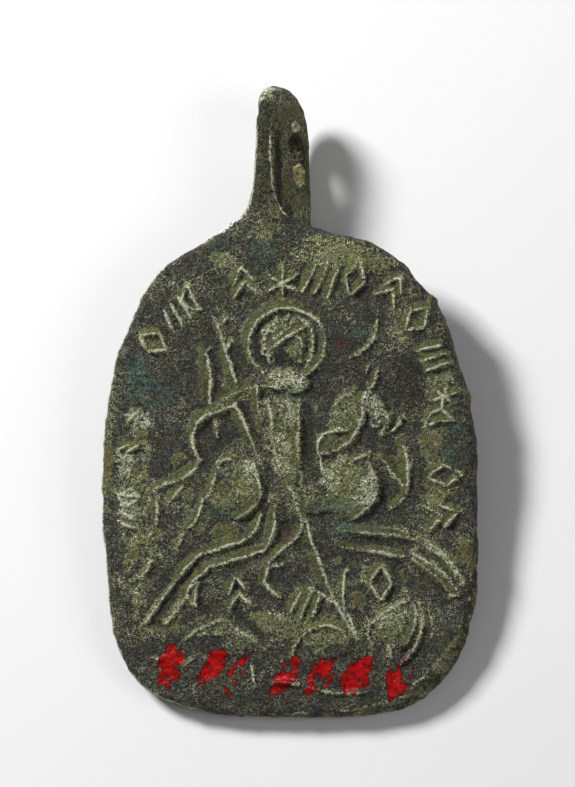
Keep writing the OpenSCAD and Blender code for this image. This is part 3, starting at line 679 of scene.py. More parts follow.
# Bevel along the plate's lower right edge: its widest place and its reach from there, narrowest and added
# width, its drop, and where it starts: across the plate with a lean about a height, and down from a height
BEVEL_AT = (12.0, 2.5)
BEVEL_REACH = 5.5
BEVEL_NARROW = 0.30
BEVEL_WIDER = 0.80
BEVEL_DROP = 0.22
BEVEL_SLOPE = (-1, 0.3)
BEVEL_LEAN, BEVEL_LEAN_AT = 0.6, 16
BEVEL_ACROSS = (2, 12)
BEVEL_DOWN = (-17, -10)

# Heights over the face, negative below it, between which kinds of wear and painted highlight fade in
FACE_FADES = {
    "face": (-0.7, -0.3), "crust": (-1.7, -0.9), "rim": (-0.7, -0.2), "rim highlight": (-0.6, -0.3),
    "bevel": (-1.6, -0.9), "ridge": (-0.5, -0.2), "crest": (-0.5, -0.1),
}
# How far the skin faces out where the drawing shows, and the share of the grain that crests lose
FACING = (0.25, 0.6)
CREST_SMOOTHER = 0.45

# Worn rim of the plate, lighter to the left as a painted highlight: its reach from the outline, strength,
# change across, and what the face takes off it
RIM_WORN_AND_LIT, RIM_STRENGTH, RIM_ACROSS, RIM_LESS_IN_FRONT = (-0.45, -0.1), 0.35, (-4, 4), 0.3
# Pale line along the rim, a painted highlight on the left edge: its place from the outline, width, strength,
# change across, and how broken it is
RIM_HIGHLIGHT, RIM_HIGHLIGHT_WIDTH, RIM_HIGHLIGHT_STRENGTH, RIM_HIGHLIGHT_ACROSS = -0.06, 0.12, 0.9, (2, 9)
RIM_HIGHLIGHT_BROKEN = (0.6, 0.8)
# Inner edge of the bevel, and the pale crack along it: its width, its strength, and where it is broken
BEVEL_EDGE, CRACK_WIDTH, CRACK_STRENGTH, CRACK_BROKEN = (-0.04, 0.12), 0.08, 0.50, (0.35, 0.65)

# Wear of the lug: heights over the plate's top where it starts, and the share of half its thickness at the
# right
ON_LUG = (0.5, 2.0)
LUG_RIGHT = (0.2, 0.8)
# Painted shade in the groove: its depth behind the front edge, and its width
GROOVE_SHADE_AT, GROOVE_SHADE_WIDTH = 0.95, 0.55
# Pale ridges beside the groove, edge wear and painted edge highlights: place from the outline, width, and
# half the way from one to the other
RIDGE_AT, RIDGE_WIDTH, RIDGE_MIDDLE = -0.11, 0.085, 0.1
# Pale tip, wear and a painted highlight on the lug's top: how far below the lug's top and behind its front it
# ends and is full
TIP_BELOW_TOP, TIP_BEHIND_FRONT = (1.8, 0.6), (3.2, 1.2)
# Olive foot: its depth, heights over the plate's top where it ends, place sideways, and where it starts
FOOT_DEEP, FOOT_OVER, FOOT_SIDE, FOOT_LOW = (2.6, 3.8), (3.1, 1.6), (0.3, 0.6), (-1.2, -0.2)
# Pale scale round the hole: offset from it along the depth and up, its radii, and its strength
SCALES = [
    (0.7, -1.9, 0.90, 0.95, 1.0),
    (-0.05, 1.95, 0.80, 0.42, 0.7),
]
# Rim of the scale, its place sideways, and how ragged it is
SCALE_RIM, SCALE_SIDE, SCALE_RAGGED = (1.6, 1.0), (0.1, 0.5), 0.5
# Painted shade and crust in the bore: its drop below the hole, how flat it is and its radii, and the bore's
# roof over the hole
BORE_SHADE_DROP, BORE_SHADE_FLAT, BORE_SHADE_RIM = 0.30, 0.8, (1.55, 1.3)
BORE_ROOF = (0.1, 1.1)
# Crust behind the hole: its depth from it, its drop below it, and the heights where it ends and is full
REAR_DEEP, REAR_DROP, REAR_HIGH = (1.2, 1.7), 1.4, (4.5, 2.0)
# Strengths of the lug's wear, of the painted highlights on its edges and tip, and of the painted shade in its
# bore. Pairs are a base and a share: of how ragged it is in the first five, of how far right it lies in the
# next, and of the bore's roof in the last two
RIGHT_RIDGE_PALE = (0.5, 0.45)
LEFT_RIDGE_PALE = (0.5, 0.6)
TIP_PALE = (0.0, 0.85)
LUG_CRUST = (0.10, 0.14)
LUG_MOSS = (0.24, 0.20)
LUG_BEVEL = (0.18, 0.10)
BORE_DARK = (0.95, -0.5)
BORE_CRUST = (0.28, 0.35)
RIGHT_OLIVE, TIP_OLIVE = 0.15, 0.2
RIGHT_CRUST, REAR_CRUST = 0.16, 0.55
DARK_LEFT_OF, LEFT_DARK, RIGHT_DARK = 0.7, 0.95, 0.22

# Noises of the finish: size in millimetres, detail and roughness
NOISES = {
    "cloud": (2.6, 2.0, 0.55), "swirl": (1.7, 1.0, 0.5), "drift": (1.15, 2.0, 0.6),
    "blotch": (0.75, 2.0, 0.6), "tinge": (0.42, 2.0, 0.6), "speck": (0.25, 2.0, 0.6),
    "grain": (0.085, 1.0, 0.5),
}
# Mottles of the finish: share of each noise, and the level that is taken off their sum
MOTTLES = {
    "ragged": ({"blotch": 0.7, "speck": 1.1, "grain": 0.9}, 1.35),
    "broken": ({"tinge": 0.6, "speck": 1.0, "grain": 1.0}, 1.30),
    "uneven": ({"blotch": 0.7, "tinge": 0.7, "speck": 0.5}, 0.95),
}
# Covers of the finish: shares of noises, mottles and masks, and the sums where the cover starts and is full
COVERS = {
    "glitter": ({"cloud": 0.4, "drift": 0.6}, 0.40, 0.62),
    "shift": ({"drift": 0.6, "speck": 0.4}, 0.40, 0.60),
    "warm": ({"cloud": 0.5, "tinge": 0.9, "speck": 0.5}, 0.87, 1.07),
    "deposit": ({"olive": 0.86, "cloud": 1.2, "uneven": 1.0, "dark": -0.2}, 0.74, 1.14),
    "dusty": ({"tinge": 0.7, "speck": 0.3}, 0.42, 0.60),
    "recess": ({"dark": 1.0, "uneven": 0.6, "ragged": 0.3}, 0.25, 0.95),
    "yellow": ({"tinge": 0.6, "drift": 0.4}, 0.43, 0.58),
    "brown": ({"drift": 0.6, "swirl": 0.4}, 0.41, 0.59),
    # Pale flecks, partly the skin's own and partly painted glints
    "fleck": ({"speck": 0.5, "grain": 1.2, "cloud": 0.2}, 0.98, 1.15),
    "painted": ({"paint": 1.0, "ragged": 0.35}, 0.44, 0.58),
    "thick": ({"paint": 1.2, "uneven": 1.6, "ragged": 1.0}, 0.65, 1.45),
}
# Patches of the finish: how much a mask is broken up, and the values where the patch starts and is full
PATCHES = {
    "slope": (2.0, 0.20, 0.90), "rim": (3.5, 0.20, 0.40), "moss": (3.5, 0.34, 0.80),
    "bevel": (0.9, 0.15, 0.75), "teal": (5.5, 0.30, 0.80), "red": (3.5, 0.25, 0.95),
    "crust": (3.5, 0.36, 0.80), "scale": (2.5, 0.30, 0.60), "white": (2.5, 0.40, 0.60),
}
# How strongly each coat of the finish covers what is under it
COATS = {
    "warm": 0.6, "deposit": 0.9, "slope": 0.65, "rim": 0.7, "moss": 0.85, "bevel": 0.9, "recess": 0.75,
    "fleck": 0.28, "crest": 0.95, "teal": 0.8, "red": 0.8, "crust": 0.85,
}
# Pale crests: their cover at full strength, how ragged and how broken it is, and where it starts and is full
CREST_COVER, CREST_RAGGED, CREST_BROKEN, CREST_EDGES = 1.2, 1.2, 3.5, (0.20, 0.90)
# Sparkle of the grain, its painted glints and speckle: its base and shares, and how much calm slopes and
# crests take off it
SPARKLE, SPARKLE_SHARES = 0.45, {"glitter": 0.50, "olive": 0.35}
CALM_TAKES, CREST_TAKES = 0.5, 0.5
# How much dirt and painted shade, olive dust and smooth skin hide of what lies on them
DARK_HIDES, OLIVE_HIDES, SMOOTH_HIDES, SMOOTH_EDGES = 0.75, 0.35, 0.9, (0.6, 1)
# Least share of the pale scale in its patches
SCALE_LEAST = 0.4
# Strength of the dark and light grain, partly its own speckle and partly painted glints and shade of its tiny
# bumps, and how much darker than light it is
GRAIN_GAIN, SPECK_GAIN, GRAIN_DARKER = 6.9, 2.6, 0.08
# Height of the bump in millimetres from each noise and from the deposits, and how much of it the paint fills
BUMPS = {"blotch": 0.22, "speck": 0.24, "grain": 0.18}
DEPOSIT_BUMP, PAINT_FILLS = 0.03, 0.85
# Roughness of bare and painted bronze, its share of metal, and its specular level
BARE_ROUGH, PAINT_ROUGH, BARE_METAL, SPECULAR = 0.78, 0.32, 0.06, 0.22
ROUGH_SHARES = {"shift": -0.16, "pale": -0.10, "dark": 0.10}

# Stage: the place on the face that the camera looks at, the way to the camera and to the lights in the
# plate's frame, and sizes in metres
AIM = (0.08, 25.56)
VIEW_WAY = (0.2244, -0.0698, 0.972)
CAMERA_ROLL = math.radians(0.45)
CLIP_START = 0.01
KEY_WAY = (-0.62, 0.62, 0.62)
KEY_SIZE = 0.09
KEY_AWAY = 0.35
FILL_WAY = (0.9, -0.1, 0.7)
FILL_SIZE = 0.20
FILL_AWAY = 0.40
FLOOR_SIZE = 1.2
FLOOR_CLOUD = 0.03
FLOOR_DARKER = 0.96
FLOOR_ROUGH = 0.6


def lattice_noise(points, cell, seed):
    """Smooth noise from -1 to 1 at points of two or three columns, from random values a cell apart."""
    dims = points.shape[1]
    low = points.min(axis=0) - cell
    place = (points - low) / cell
    base = np.floor(place).astype(int)
    share = place - base
    share = share * share * (3 - 2 * share)
    size = base.max(axis=0) + 2
    values = np.random.default_rng(seed).uniform(-1, 1, size).astype(np.float32)
    total = np.zeros(len(points))
    for corner in np.ndindex(*(2,) * dims):
        corner = np.array(corner)
        weight = np.prod(np.where(corner == 1, share, 1 - share), axis=1)
        total += weight * values[tuple((base + corner).T)]
    return total


def layered_noise(points, layers, start=0.0):
    """Layers of noise, each times its height, added to a starting value."""
    total = start
    for height, cell, seed in layers:
        total = total + height * lattice_noise(points, cell, seed)
    return total


def layered_map(across, up, layers, start=0.0):
    """Layered noise on a grid of the face."""
    points = np.column_stack([across.ravel(), up.ravel()])
    return layered_noise(points, layers, start).reshape(across.shape)


def smooth_step(values, low, high):
    """0 below low, 1 above high, and a smooth rise between them."""
    share = np.clip((values - low) / (high - low), 0, 1)
    return share * share * (3 - 2 * share)


def smooth_drop(values, outer, inner):
    """0 above outer, 1 below inner, and a smooth change between them."""
    return smooth_step(-values, -outer, -inner)


def smooth_max(a, b, round_by):
    """The larger of two fields, with their meeting rounded."""
    near = np.maximum(round_by - np.abs(a - b), 0) / round_by
    return np.maximum(a, b) + near * near * round_by / 4


def smooth_min(a, b, round_by):
    """The smaller of two fields, with their meeting filled."""
    return -smooth_max(-a, -b, round_by)


def hill(values, middle, width, power=2):
    """1 at the middle, falling to either side over a width."""
    return np.exp(-(((values - middle) / width) ** power))


def round_hill(across, up, middle, radius):
    """1 at a place of the face, falling round it over a radius."""
    return np.exp(-((across - middle[0]) ** 2 + (up - middle[1]) ** 2) / radius**2)


def from_pair(pair, amount):
    """The base of a pair and its share of an amount."""
    return pair[0] + pair[1] * amount


def raise_map(maps, name, values):
    """Raises one of some maps to values where these are larger."""
    maps[name] = np.maximum(maps[name], values)


def taper(share):
    """Share of its full strength that a line has at a share of its length."""
    return LINE_TIP + (1 - LINE_TIP) * np.sqrt(np.sin(np.pi * np.clip(share, 0, 1)))


def stroke(across, up, row):
    """Offsets of a grid's points from a bowed line, their distance from it, and their share of its length."""
    from_x, from_y, to_x, to_y, bow = row[:5]
    run_x, run_y = to_x - from_x, to_y - from_y
    length = math.hypot(run_x, run_y)
    run_x, run_y = run_x / length, run_y / length
    along = (across - from_x) * run_x + (up - from_y) * run_y
    share = np.clip(along / length, 0, 1)
    bulge = bow * 4 * share * (1 - share)
    away_x = across - from_x - run_x * share * length + run_y * bulge
    away_y = up - from_y - run_y * share * length - run_x * bulge
    slope = bow * 4 * (1 - 2 * share) / length
    inside = (along > 0) & (along < length)
    distance = np.hypot(away_x, away_y) / np.where(inside, np.sqrt(1 + slope * slope), 1)
    return away_x, away_y, distance, share


def arc(across, up, row):
    """The same as a stroke, for a row of the oval table."""
    mid_x, mid_y, radius_x, radius_y, start, end = row[:6]
    angle = np.degrees(np.arctan2((up - mid_y) / radius_y, (across - mid_x) / radius_x))
    middle = (start + end) / 2
    angle = (angle - middle + 180) % 360 - 180 + middle
    share = np.clip((angle - start) / (end - start), 0, 1)
    on_line = np.radians(start + (end - start) * share)
    away_x = across - mid_x - radius_x * np.cos(on_line)
    away_y = up - mid_y - radius_y * np.sin(on_line)
    return away_x, away_y, np.hypot(away_x, away_y), share


def oval_field(across, up, mid_x, mid_y, radius_x, radius_y, turn):
    """Distance from a turned oval's middle as a share of its radius."""
    turn = math.radians(turn)
    dx, dy = across - mid_x, up - mid_y
    along = dx * math.cos(turn) + dy * math.sin(turn)
    side = dy * math.cos(turn) - dx * math.sin(turn)
    return np.hypot(along / radius_x, side / radius_y)


def oval_mask(across, up, oval, rim, ragged=0.0):
    """1 inside a turned oval and 0 outside it, with a soft rim that can be ragged."""
    return smooth_drop(oval_field(across, up, *oval) + ragged, *rim)


def border_strokes(s):
    """Line rows of all the border's marks."""
    rows = []
    for mid_x, mid_y, turn, size, kind in BORDER:
        turn = math.radians(turn)
        for from_x, from_y, to_x, to_y, bow, wide in MARK_KINDS[kind]:
            ends = []
            for x, y in ((from_x, from_y), (to_x, to_y)):
                ends += [
                    mid_x + size * (x * math.cos(turn) - y * math.sin(turn)),
                    mid_y + size * (x * math.sin(turn) + y * math.cos(turn)),
                ]
            rows.append((*ends, bow * size, wide * s.mark_width, s.mark_height / s.line_height, MARK_FLANK))
    return rows


def lay_line(maps, trace, profile, wear, broad):
    """Adds a line to the maps: a ridge with a steep side and, up and to its left, a long gentle flank, with
    painted shade at its foot.
    """
    away_x, away_y, distance, share = trace
    wide, rise, flank = profile
    way = (away_x * FLANK_WAY[0] + away_y * FLANK_WAY[1]) / np.maximum(distance, 1e-4)
    strength = np.maximum(taper(share), STRONG_TIP if wide > STRONG_WIDTH else 0)
    half = wide / 2 * strength
    gentle = smooth_step(way, *GENTLE_WAY)
    steep = from_pair(STEEP_SIDE, half) + (BROAD_STEEPER if wide > BROAD_WIDTH else 0)
    reach = steep * (1 - gentle) + (half + from_pair(GENTLE_SIDE, flank) * strength) * gentle
    ridge = np.clip(1 - distance / from_pair(RIDGE_SIDE, half), 0, 1)
    ramp = np.clip(1 - distance / reach, 0, 1)
    raise_map(maps, "lines", rise * strength * (RIDGE_SHARE * ridge + (1 - RIDGE_SHARE) * ramp) * wear)
    crest = hill(distance, 0, from_pair(CREST_SIDE, half) * broad) * strength
    raise_map(maps, "crest", crest * min(1, from_pair(CREST_STRENGTH, rise)) * wear)
    bloom = BLOOM * smooth_drop(distance / (reach + BLOOM_PAST), *BLOOM_EDGE)
    band = smooth_step(reach - distance, *FLANK_EDGE) * gentle
    colored = np.maximum(bloom, band) * np.sqrt(strength)
    raise_map(maps, "flank", colored * min(1, from_pair(FLANK_STRENGTH, rise)))
    if flank > SMOOTH_FLANK:
        raise_map(maps, "slope", band * strength)
    # Painted shade: a painted shadow past the steep side, away from the light, and darkening at the foot of
    # the gentle flank
    steep_shade = STEEP_SHADE * hill(distance - steep, SHADE_PAST, STEEP_SHADE_WIDTH) * (1 - gentle) * strength
    raise_map(maps, "lee", steep_shade * min(1, rise * STEEP_SHADE_BY_RISE))
    foot_shade = hill(distance - reach, SHADE_PAST, GENTLE_SHADE_WIDTH) * gentle * strength
    raise_map(maps, "lee", foot_shade * min(GENTLE_SHADE, rise * GENTLE_SHADE))


def drawn_maps(across, up, s):
    """Height and finish of the drawing on the face: maps on a grid of the face, by name."""
    maps = {name: np.zeros(across.shape) for name in ("lines", "crest", "flank", "slope", "lee", "mass")}
    waver_x = layered_map(across, up, WAVER_ACROSS)
    waver_y = layered_map(across, up, WAVER_UP)
    across = across - DRAWING_AT[0] + waver_x
    up = up - DRAWING_AT[1] + waver_y
    wear = layered_map(across, up, LINE_WEAR, 1.0)
    broad = layered_map(across, up, CREST_BREADTH, 1.0)
    strokes = RIDER_LINES + HEAD_LINES + SPEAR_LINES + HORSE_LINES + LEG_LINES + FALLEN_LINES
    for row in strokes + border_strokes(s):
        lay_line(maps, stroke(across, up, row), row[5:], wear, broad)
    for row in OVAL_LINES:
        lay_line(maps, arc(across, up, row), row[6:], wear, broad)
    for *oval, rise in MASSES:
        raise_map(maps, "mass", rise * oval_mask(across, up, oval, MASS_RIM))
    for *oval, strength in LIMBS:
        band = strength * oval_mask(across, up, oval, LIMB_RIM)
        for name, share in (("flank", 1), ("mass", LIMB_MASS), ("slope", 1)):
            raise_map(maps, name, share * band)
    covered = maps["crest"] * CREST_COVERS + maps["flank"] * FLANK_COVERS - COVERED_FROM
    maps["lee"] *= 1 - np.clip(covered, 0, 1)
    return maps


def finish_maps(across, up, s):
    """Height of the face over the plate, and the masks of its colours, as maps on a grid of the face."""
    maps = drawn_maps(across, up, s)
    hollows = {name: np.zeros(across.shape) for name in ("depth", "dark")}
    # Each hollow is sunk and darkened with painted shade
    for *oval, depth, shade in HOLLOWS:
        mask = oval_mask(across, up, oval, HOLLOW_RIM)
        raise_map(hollows, "depth", depth * mask)
        raise_map(hollows, "dark", shade * mask)
    off_relief = 1 - np.clip(maps["lines"] * LINE_CLEARS + maps["crest"], 0, 1)
    masks = {name: np.zeros(across.shape) for name in (*STAINS, "paint")}
    ragged = layered_map(across, up, STAIN_EDGES)
    for kind, rows in STAINS.items():
        for *oval, strength in rows:
            raise_map(masks, kind, strength * oval_mask(across, up, oval, STAIN_RIM, ragged))
    for *oval, strength in PAINT_DABS:
        raise_map(masks, "paint", strength * oval_mask(across, up, oval, PAINT_RIM, PAINT_RAGGED * ragged))
    masks["paint"] *= smooth_step(layered_map(across, up, PAINT_WEAR), *PAINT_WORN)
    raise_map(masks, "pale", maps["crest"])
    raise_map(masks, "olive", maps["flank"])
    raise_map(masks, "olive", MASS_OLIVE * np.clip(maps["mass"], 0, 1))
    # The painted shade beside the lines darkens the face
    raise_map(masks, "dark", maps["lee"])
    # Hollows off the relief are darkened with painted shade
    raise_map(masks, "dark", hollows["dark"] * off_relief)
    masks["dark"] = np.clip(masks["dark"], 0, 1)
    masks["slope"] = np.clip(maps["slope"] * (1 - maps["crest"]), 0, 1)
    height = s.line_height * maps["lines"] + s.mass_height * maps["mass"] * (1 - MASS_LOST * maps["lines"])
    height -= hollows["depth"] * off_relief + LEE_GROOVE_DEPTH * maps["lee"]
    rng = np.random.default_rng(PIT_SEED)
    for _ in range(PIT_COUNT):
        mid_x = rng.uniform(-s.plate_width / 2, s.plate_width / 2)
        mid_y = rng.uniform(0, s.foot_height + s.shoulder_height)
        radius = rng.uniform(*PIT_RADIUS)
        out = np.hypot(across - mid_x, up - mid_y) / radius
        height -= PIT_DEPTH * rng.uniform(PIT_SHALLOWEST, 1) * smooth_drop(out, *PIT_RIM)
    for kind, rise in STAIN_RISES.items():
        height += rise * masks[kind]
    return height, masks


def squarish_distance(side, rise, wide, high, square, least_slope):
    """Distance from a rounded square, from shares of its half width and half height, negative inside."""
    size = np.maximum((side**square + rise**square) ** (1 / square), 1e-3)
    grow_x = size ** (1 - square) * side ** (square - 1) / wide
    grow_y = size ** (1 - square) * rise ** (square - 1) / high
    return (size - 1) / np.maximum(np.hypot(grow_x, grow_y), least_slope)


def outline_distance(across, up, s):
    """Distance from the plate's outline, negative inside: two halves of rounded squares."""
    upper = up >= s.foot_height
    square = np.where(upper, s.shoulder_squareness, s.foot_squareness)
    height = np.where(upper, s.shoulder_height, s.foot_height)
    side = np.abs(across) / (s.plate_width / 2)
    rise = np.abs(up - s.foot_height) / height
    return squarish_distance(side, rise, s.plate_width / 2, height, square, 1e-3)


def lug_axes(across, up, out, s):
    """Sideways place, and depth behind the front edge, in the twisted lug's own frame."""
    right, back = across - s.lug_offset, s.plate_thickness - out
    side = right * math.cos(s.lug_twist) - back * math.sin(s.lug_twist)
    depth = right * math.sin(s.lug_twist) + back * math.cos(s.lug_twist)
    return side, depth


def lug_half(up, s):
    """Half the lug's thickness at a height."""
    share = np.clip((up - s.plate_top) / s.lug_height, 0, 1)
    return (s.lug_thickness + (s.lug_tip_thickness - s.lug_thickness) * share) / 2


def lug_span(up, span, s):
    """1 between heights over the plate's top and below the lug's top, fading at both."""
    return smooth_step(up - s.plate_top, *span[0]) * smooth_step(s.lug_top - up, *span[1])


def lug_field(across, up, out, s):
    """Distance from the twisted lug with its gusset, groove and worn hole, negative inside."""
    side, depth = lug_axes(across, up, out, s)
    half = lug_half(up, s)
    top = s.lug_top + TIP_RISE
    over = np.maximum(up - top + TIP_BACK, 0) / TIP_BACK
    back = np.maximum(depth - TIP_AT, 0) / (s.lug_depth - TIP_AT)
    profile = squarish_distance(over, back, TIP_BACK, s.lug_depth - TIP_AT, TIP_SQUARE, 0.1)
    over = np.maximum(up - top + TIP_FRONT, 0) / TIP_FRONT
    front = np.hypot(over, np.maximum(TIP_AT - depth, 0) / TIP_AT) - 1
    profile = np.maximum(profile, front * TIP_FRONT)
    low = np.clip((s.plate_top - up) / s.gusset_height, 0, 1)
    gusset = depth - s.lug_depth + (s.lug_depth - s.plate_thickness) * low
    profile = np.maximum(profile, np.maximum(gusset, s.plate_top - s.gusset_height - up))
    along = lug_span(up, GROOVE_SPAN, s)
    groove = hill(depth, GROOVE_AT, GROOVE_WIDTH) * along
    lip = hill(depth, LIP_AT, LIP_WIDTH) * along
    half = half + np.where(side > 0, LIP_HEIGHT * lip - GROOVE_DEPTH * groove, 0)
    profile = np.maximum(profile, DIP_DEPTH * hill(side, 0, DIP_WIDTH) * along - depth)
    edge = np.minimum(LUG_ROUND, half * LUG_ROUND_SHARE)
    off_side, off_edge = np.abs(side) - half + edge, profile + edge
    body = np.hypot(np.maximum(off_side, 0), np.maximum(off_edge, 0))
    body = body + np.minimum(np.maximum(off_side, off_edge), 0) - edge
    from_hole_y, from_hole_z = up - s.hole_y, depth - s.hole_depth - BORE_LEAN * side
    radius = s.hole_radius - BORE_NARROWER * smooth_step(-side, 0.0, BORE_NARROWS)
    body = smooth_max(body, radius - np.hypot(from_hole_y, from_hole_z), BORE_ROUND)
    high, wide = (from_hole_y + MOUTH_DROP) / MOUTH_HIGH, from_hole_z / MOUTH_WIDE
    deep = (np.abs(side) - half) / MOUTH_DEEP
    mouth = 1 - np.sqrt(high**2 + wide**2 + deep**2)
    return smooth_max(body, mouth * MOUTH_DEEP, MOUTH_ROUND)


def bevel_share(across, up):
    """How much of the bevel the plate's edge has at a place: all of it at the lower right."""
    leaning = across + BEVEL_LEAN * (BEVEL_LEAN_AT - up)
    return smooth_step(leaning, *BEVEL_ACROSS) * smooth_step(-up, *BEVEL_DOWN)


def bevel_width(across, up):
    """Width of the bevel at a place."""
    return BEVEL_NARROW + BEVEL_WIDER * round_hill(across, up, BEVEL_AT, BEVEL_REACH)


def cast_field(s):
    """Field of the whole casting on a box grid, negative inside, with the grid's axes and the face's maps."""
    step = s.grid_step
    pad = ROOM_STEPS * step
    face = s.plate_thickness
    xs = np.arange(-s.plate_width / 2 - pad, s.plate_width / 2 + pad, step)
    ys = np.arange(-pad, s.lug_top + TIP_RISE + pad, step)
    zs = np.arange(face - s.lug_depth - pad, face + s.line_height * ROOM_OVER_LINES + pad, step)
    across, up = np.meshgrid(xs, ys, indexing="ij")
    height, masks = finish_maps(across, up, s)
    outline = outline_distance(across, up, s) + layered_map(across, up, EDGE_NICKS)
    outline -= CRUST_SWELL * (masks["crust"] + masks["white"])
    for mid_x, mid_y, radius, push in NUDGES:
        outline -= push * round_hill(across, up, (mid_x, mid_y), radius)
    slope = smooth_step(outline / bevel_width(across, up), *BEVEL_SLOPE)
    height -= BEVEL_DROP * bevel_share(across, up) * slope
    slim = lug_half(up, s) - NECK_SLIMMER * smooth_step(up - s.plate_top, *NECK_SLIMS)
    neck = np.maximum(np.abs(across - s.lug_offset + NECK_LEFT) - slim, up - s.lug_top + NECK_ENDS)
    neck = np.maximum(neck, s.foot_height - up)
    web = smooth_min(outline, neck, NECK_FILLET)
    back = layered_map(across, up, BACK_WAVES)
    field = np.full((len(xs), len(ys), len(zs)), 1.0, np.float32)
    for layer in np.nonzero(zs > -s.edge_round)[0]:
        slab = np.maximum(zs[layer] - face - height, back - zs[layer])
        front = smooth_step(zs[layer], face - WEB_DEPTH, face - WEB_DEPTH + WEB_FADE)
        thin = smooth_min(outline, neck, NECK_FILLET * (BACK_FILLET + (1 - BACK_FILLET) * front))
        field[:, :, layer] = smooth_max(thin, slab, s.edge_round * 2)
    near = ys > s.plate_top - s.gusset_height - ROOM_BELOW_GUSSET
    lug = lug_field(across[:, near, None], up[:, near, None], zs[None, None, :], s)
    field[:, near, :] = smooth_min(field[:, near, :], lug, LUG_FILLET)
    return field, (xs, ys, zs), masks, web


def skin(field, axes):
    """Vertices and four-sided faces of a field's zero surface, one vertex in each cell that it crosses."""
    inside = field < 0
    count = np.zeros([n - 1 for n in field.shape], np.uint8)
    for i, j, k in np.ndindex(2, 2, 2):
        count += inside[i : i - 1 or None, j : j - 1 or None, k : k - 1 or None]
    crossed = (count > 0) & (count < 8)
    cells = np.argwhere(crossed)
    ids = np.full(count.shape, -1, np.int64)
    ids[crossed] = np.arange(len(cells))
    total = np.zeros((len(cells), 3))
    hits = np.zeros(len(cells))
    for axis in range(3):
        others = [a for a in range(3) if a != axis]
        for steps in np.ndindex(2, 2):
            low = cells.copy()
            low[:, others] += steps
            high = low.copy()
            high[:, axis] += 1
            at_low = field[tuple(low.T)].astype(float)
            at_high = field[tuple(high.T)].astype(float)
            cut = (at_low < 0) != (at_high < 0)
            share = np.where(cut, at_low / np.where(cut, at_low - at_high, 1), 0)
            point = np.column_stack([axes[a][low[:, a]] for a in range(3)])
            point[:, axis] += share * (axes[axis][high[:, axis]] - point[:, axis])
            total += np.where(cut[:, None], point, 0)
            hits += cut
    faces = []
    for axis in range(3):
        others = [(axis + 1) % 3, (axis + 2) % 3]
        low = np.take(inside, range(field.shape[axis] - 1), axis)
        high = np.take(inside, range(1, field.shape[axis]), axis)
        edges = np.argwhere(low != high)
        corners = []
        for steps in ((-1, -1), (0, -1), (0, 0), (-1, 0)):
            cell = edges.copy()
            cell[:, others] += steps
            corners.append(ids[tuple(cell.T)])
        quads = np.column_stack(corners)
        inward = ~low[tuple(edges.T)]
        quads[inward] = quads[inward][:, ::-1]
        faces.append(quads)
    return total / hits[:, None], np.concatenate(faces)


def sample(values, axes, points):
    """Values of a map of the face at points."""
    places = []
    for axis, line in enumerate(axes[:2]):
        places.append(np.clip((points[:, axis] - line[0]) / (line[1] - line[0]), 0, len(line) - 1.001))
    i, j = (place.astype(int) for place in places)
    u, v = places[0] - i, places[1] - j
    low = values[i, j] * (1 - u) + values[i + 1, j] * u
    high = values[i, j + 1] * (1 - u) + values[i + 1, j + 1] * u
    return low * (1 - v) + high * v


def read_rows(values, name):
    """Three columns of numbers from a mesh's vertices or normals."""
    rows = np.empty(len(values) * 3, np.float32)
    values.foreach_get(name, rows)
    return rows.reshape(-1, 3).astype(float)


def rim_masks(found, points, rim, ragged, front, s):
    """Adds the worn rim of the plate with its painted highlight on the left, and its smooth bevel, to the
    masks at each vertex.
    """
    x, y, over_face = points[:, 0], points[:, 1], points[:, 2] - s.plate_thickness
    # Pale worn rim, stronger on the left as a painted highlight; the pale line is a painted highlight on the
    # left edge
    worn = smooth_step(rim, *RIM_WORN_AND_LIT) * smooth_step(over_face, *FACE_FADES["rim"])
    worn *= 1 - front * RIM_LESS_IN_FRONT
    raise_map(found, "pale", RIM_STRENGTH * worn * smooth_step(-x, *RIM_ACROSS) * ragged)
    line = hill(rim, RIM_HIGHLIGHT, RIM_HIGHLIGHT_WIDTH) * smooth_step(over_face, *FACE_FADES["rim highlight"])
    line *= smooth_step(-x, *RIM_HIGHLIGHT_ACROSS) * from_pair(RIM_HIGHLIGHT_BROKEN, ragged)
    raise_map(found, "pale", RIM_HIGHLIGHT_STRENGTH * line)
    bevel = bevel_share(x, y) * smooth_step(over_face, *FACE_FADES["bevel"])
    inwards = layered_noise(points, BEVEL_WAVER, rim) + bevel_width(x, y)
    found["bevel"] = bevel * smooth_step(inwards, *BEVEL_EDGE)
    crack = hill(inwards, 0, CRACK_WIDTH) * bevel * smooth_step(ragged, *CRACK_BROKEN)
    raise_map(found, "pale", CRACK_STRENGTH * crack)


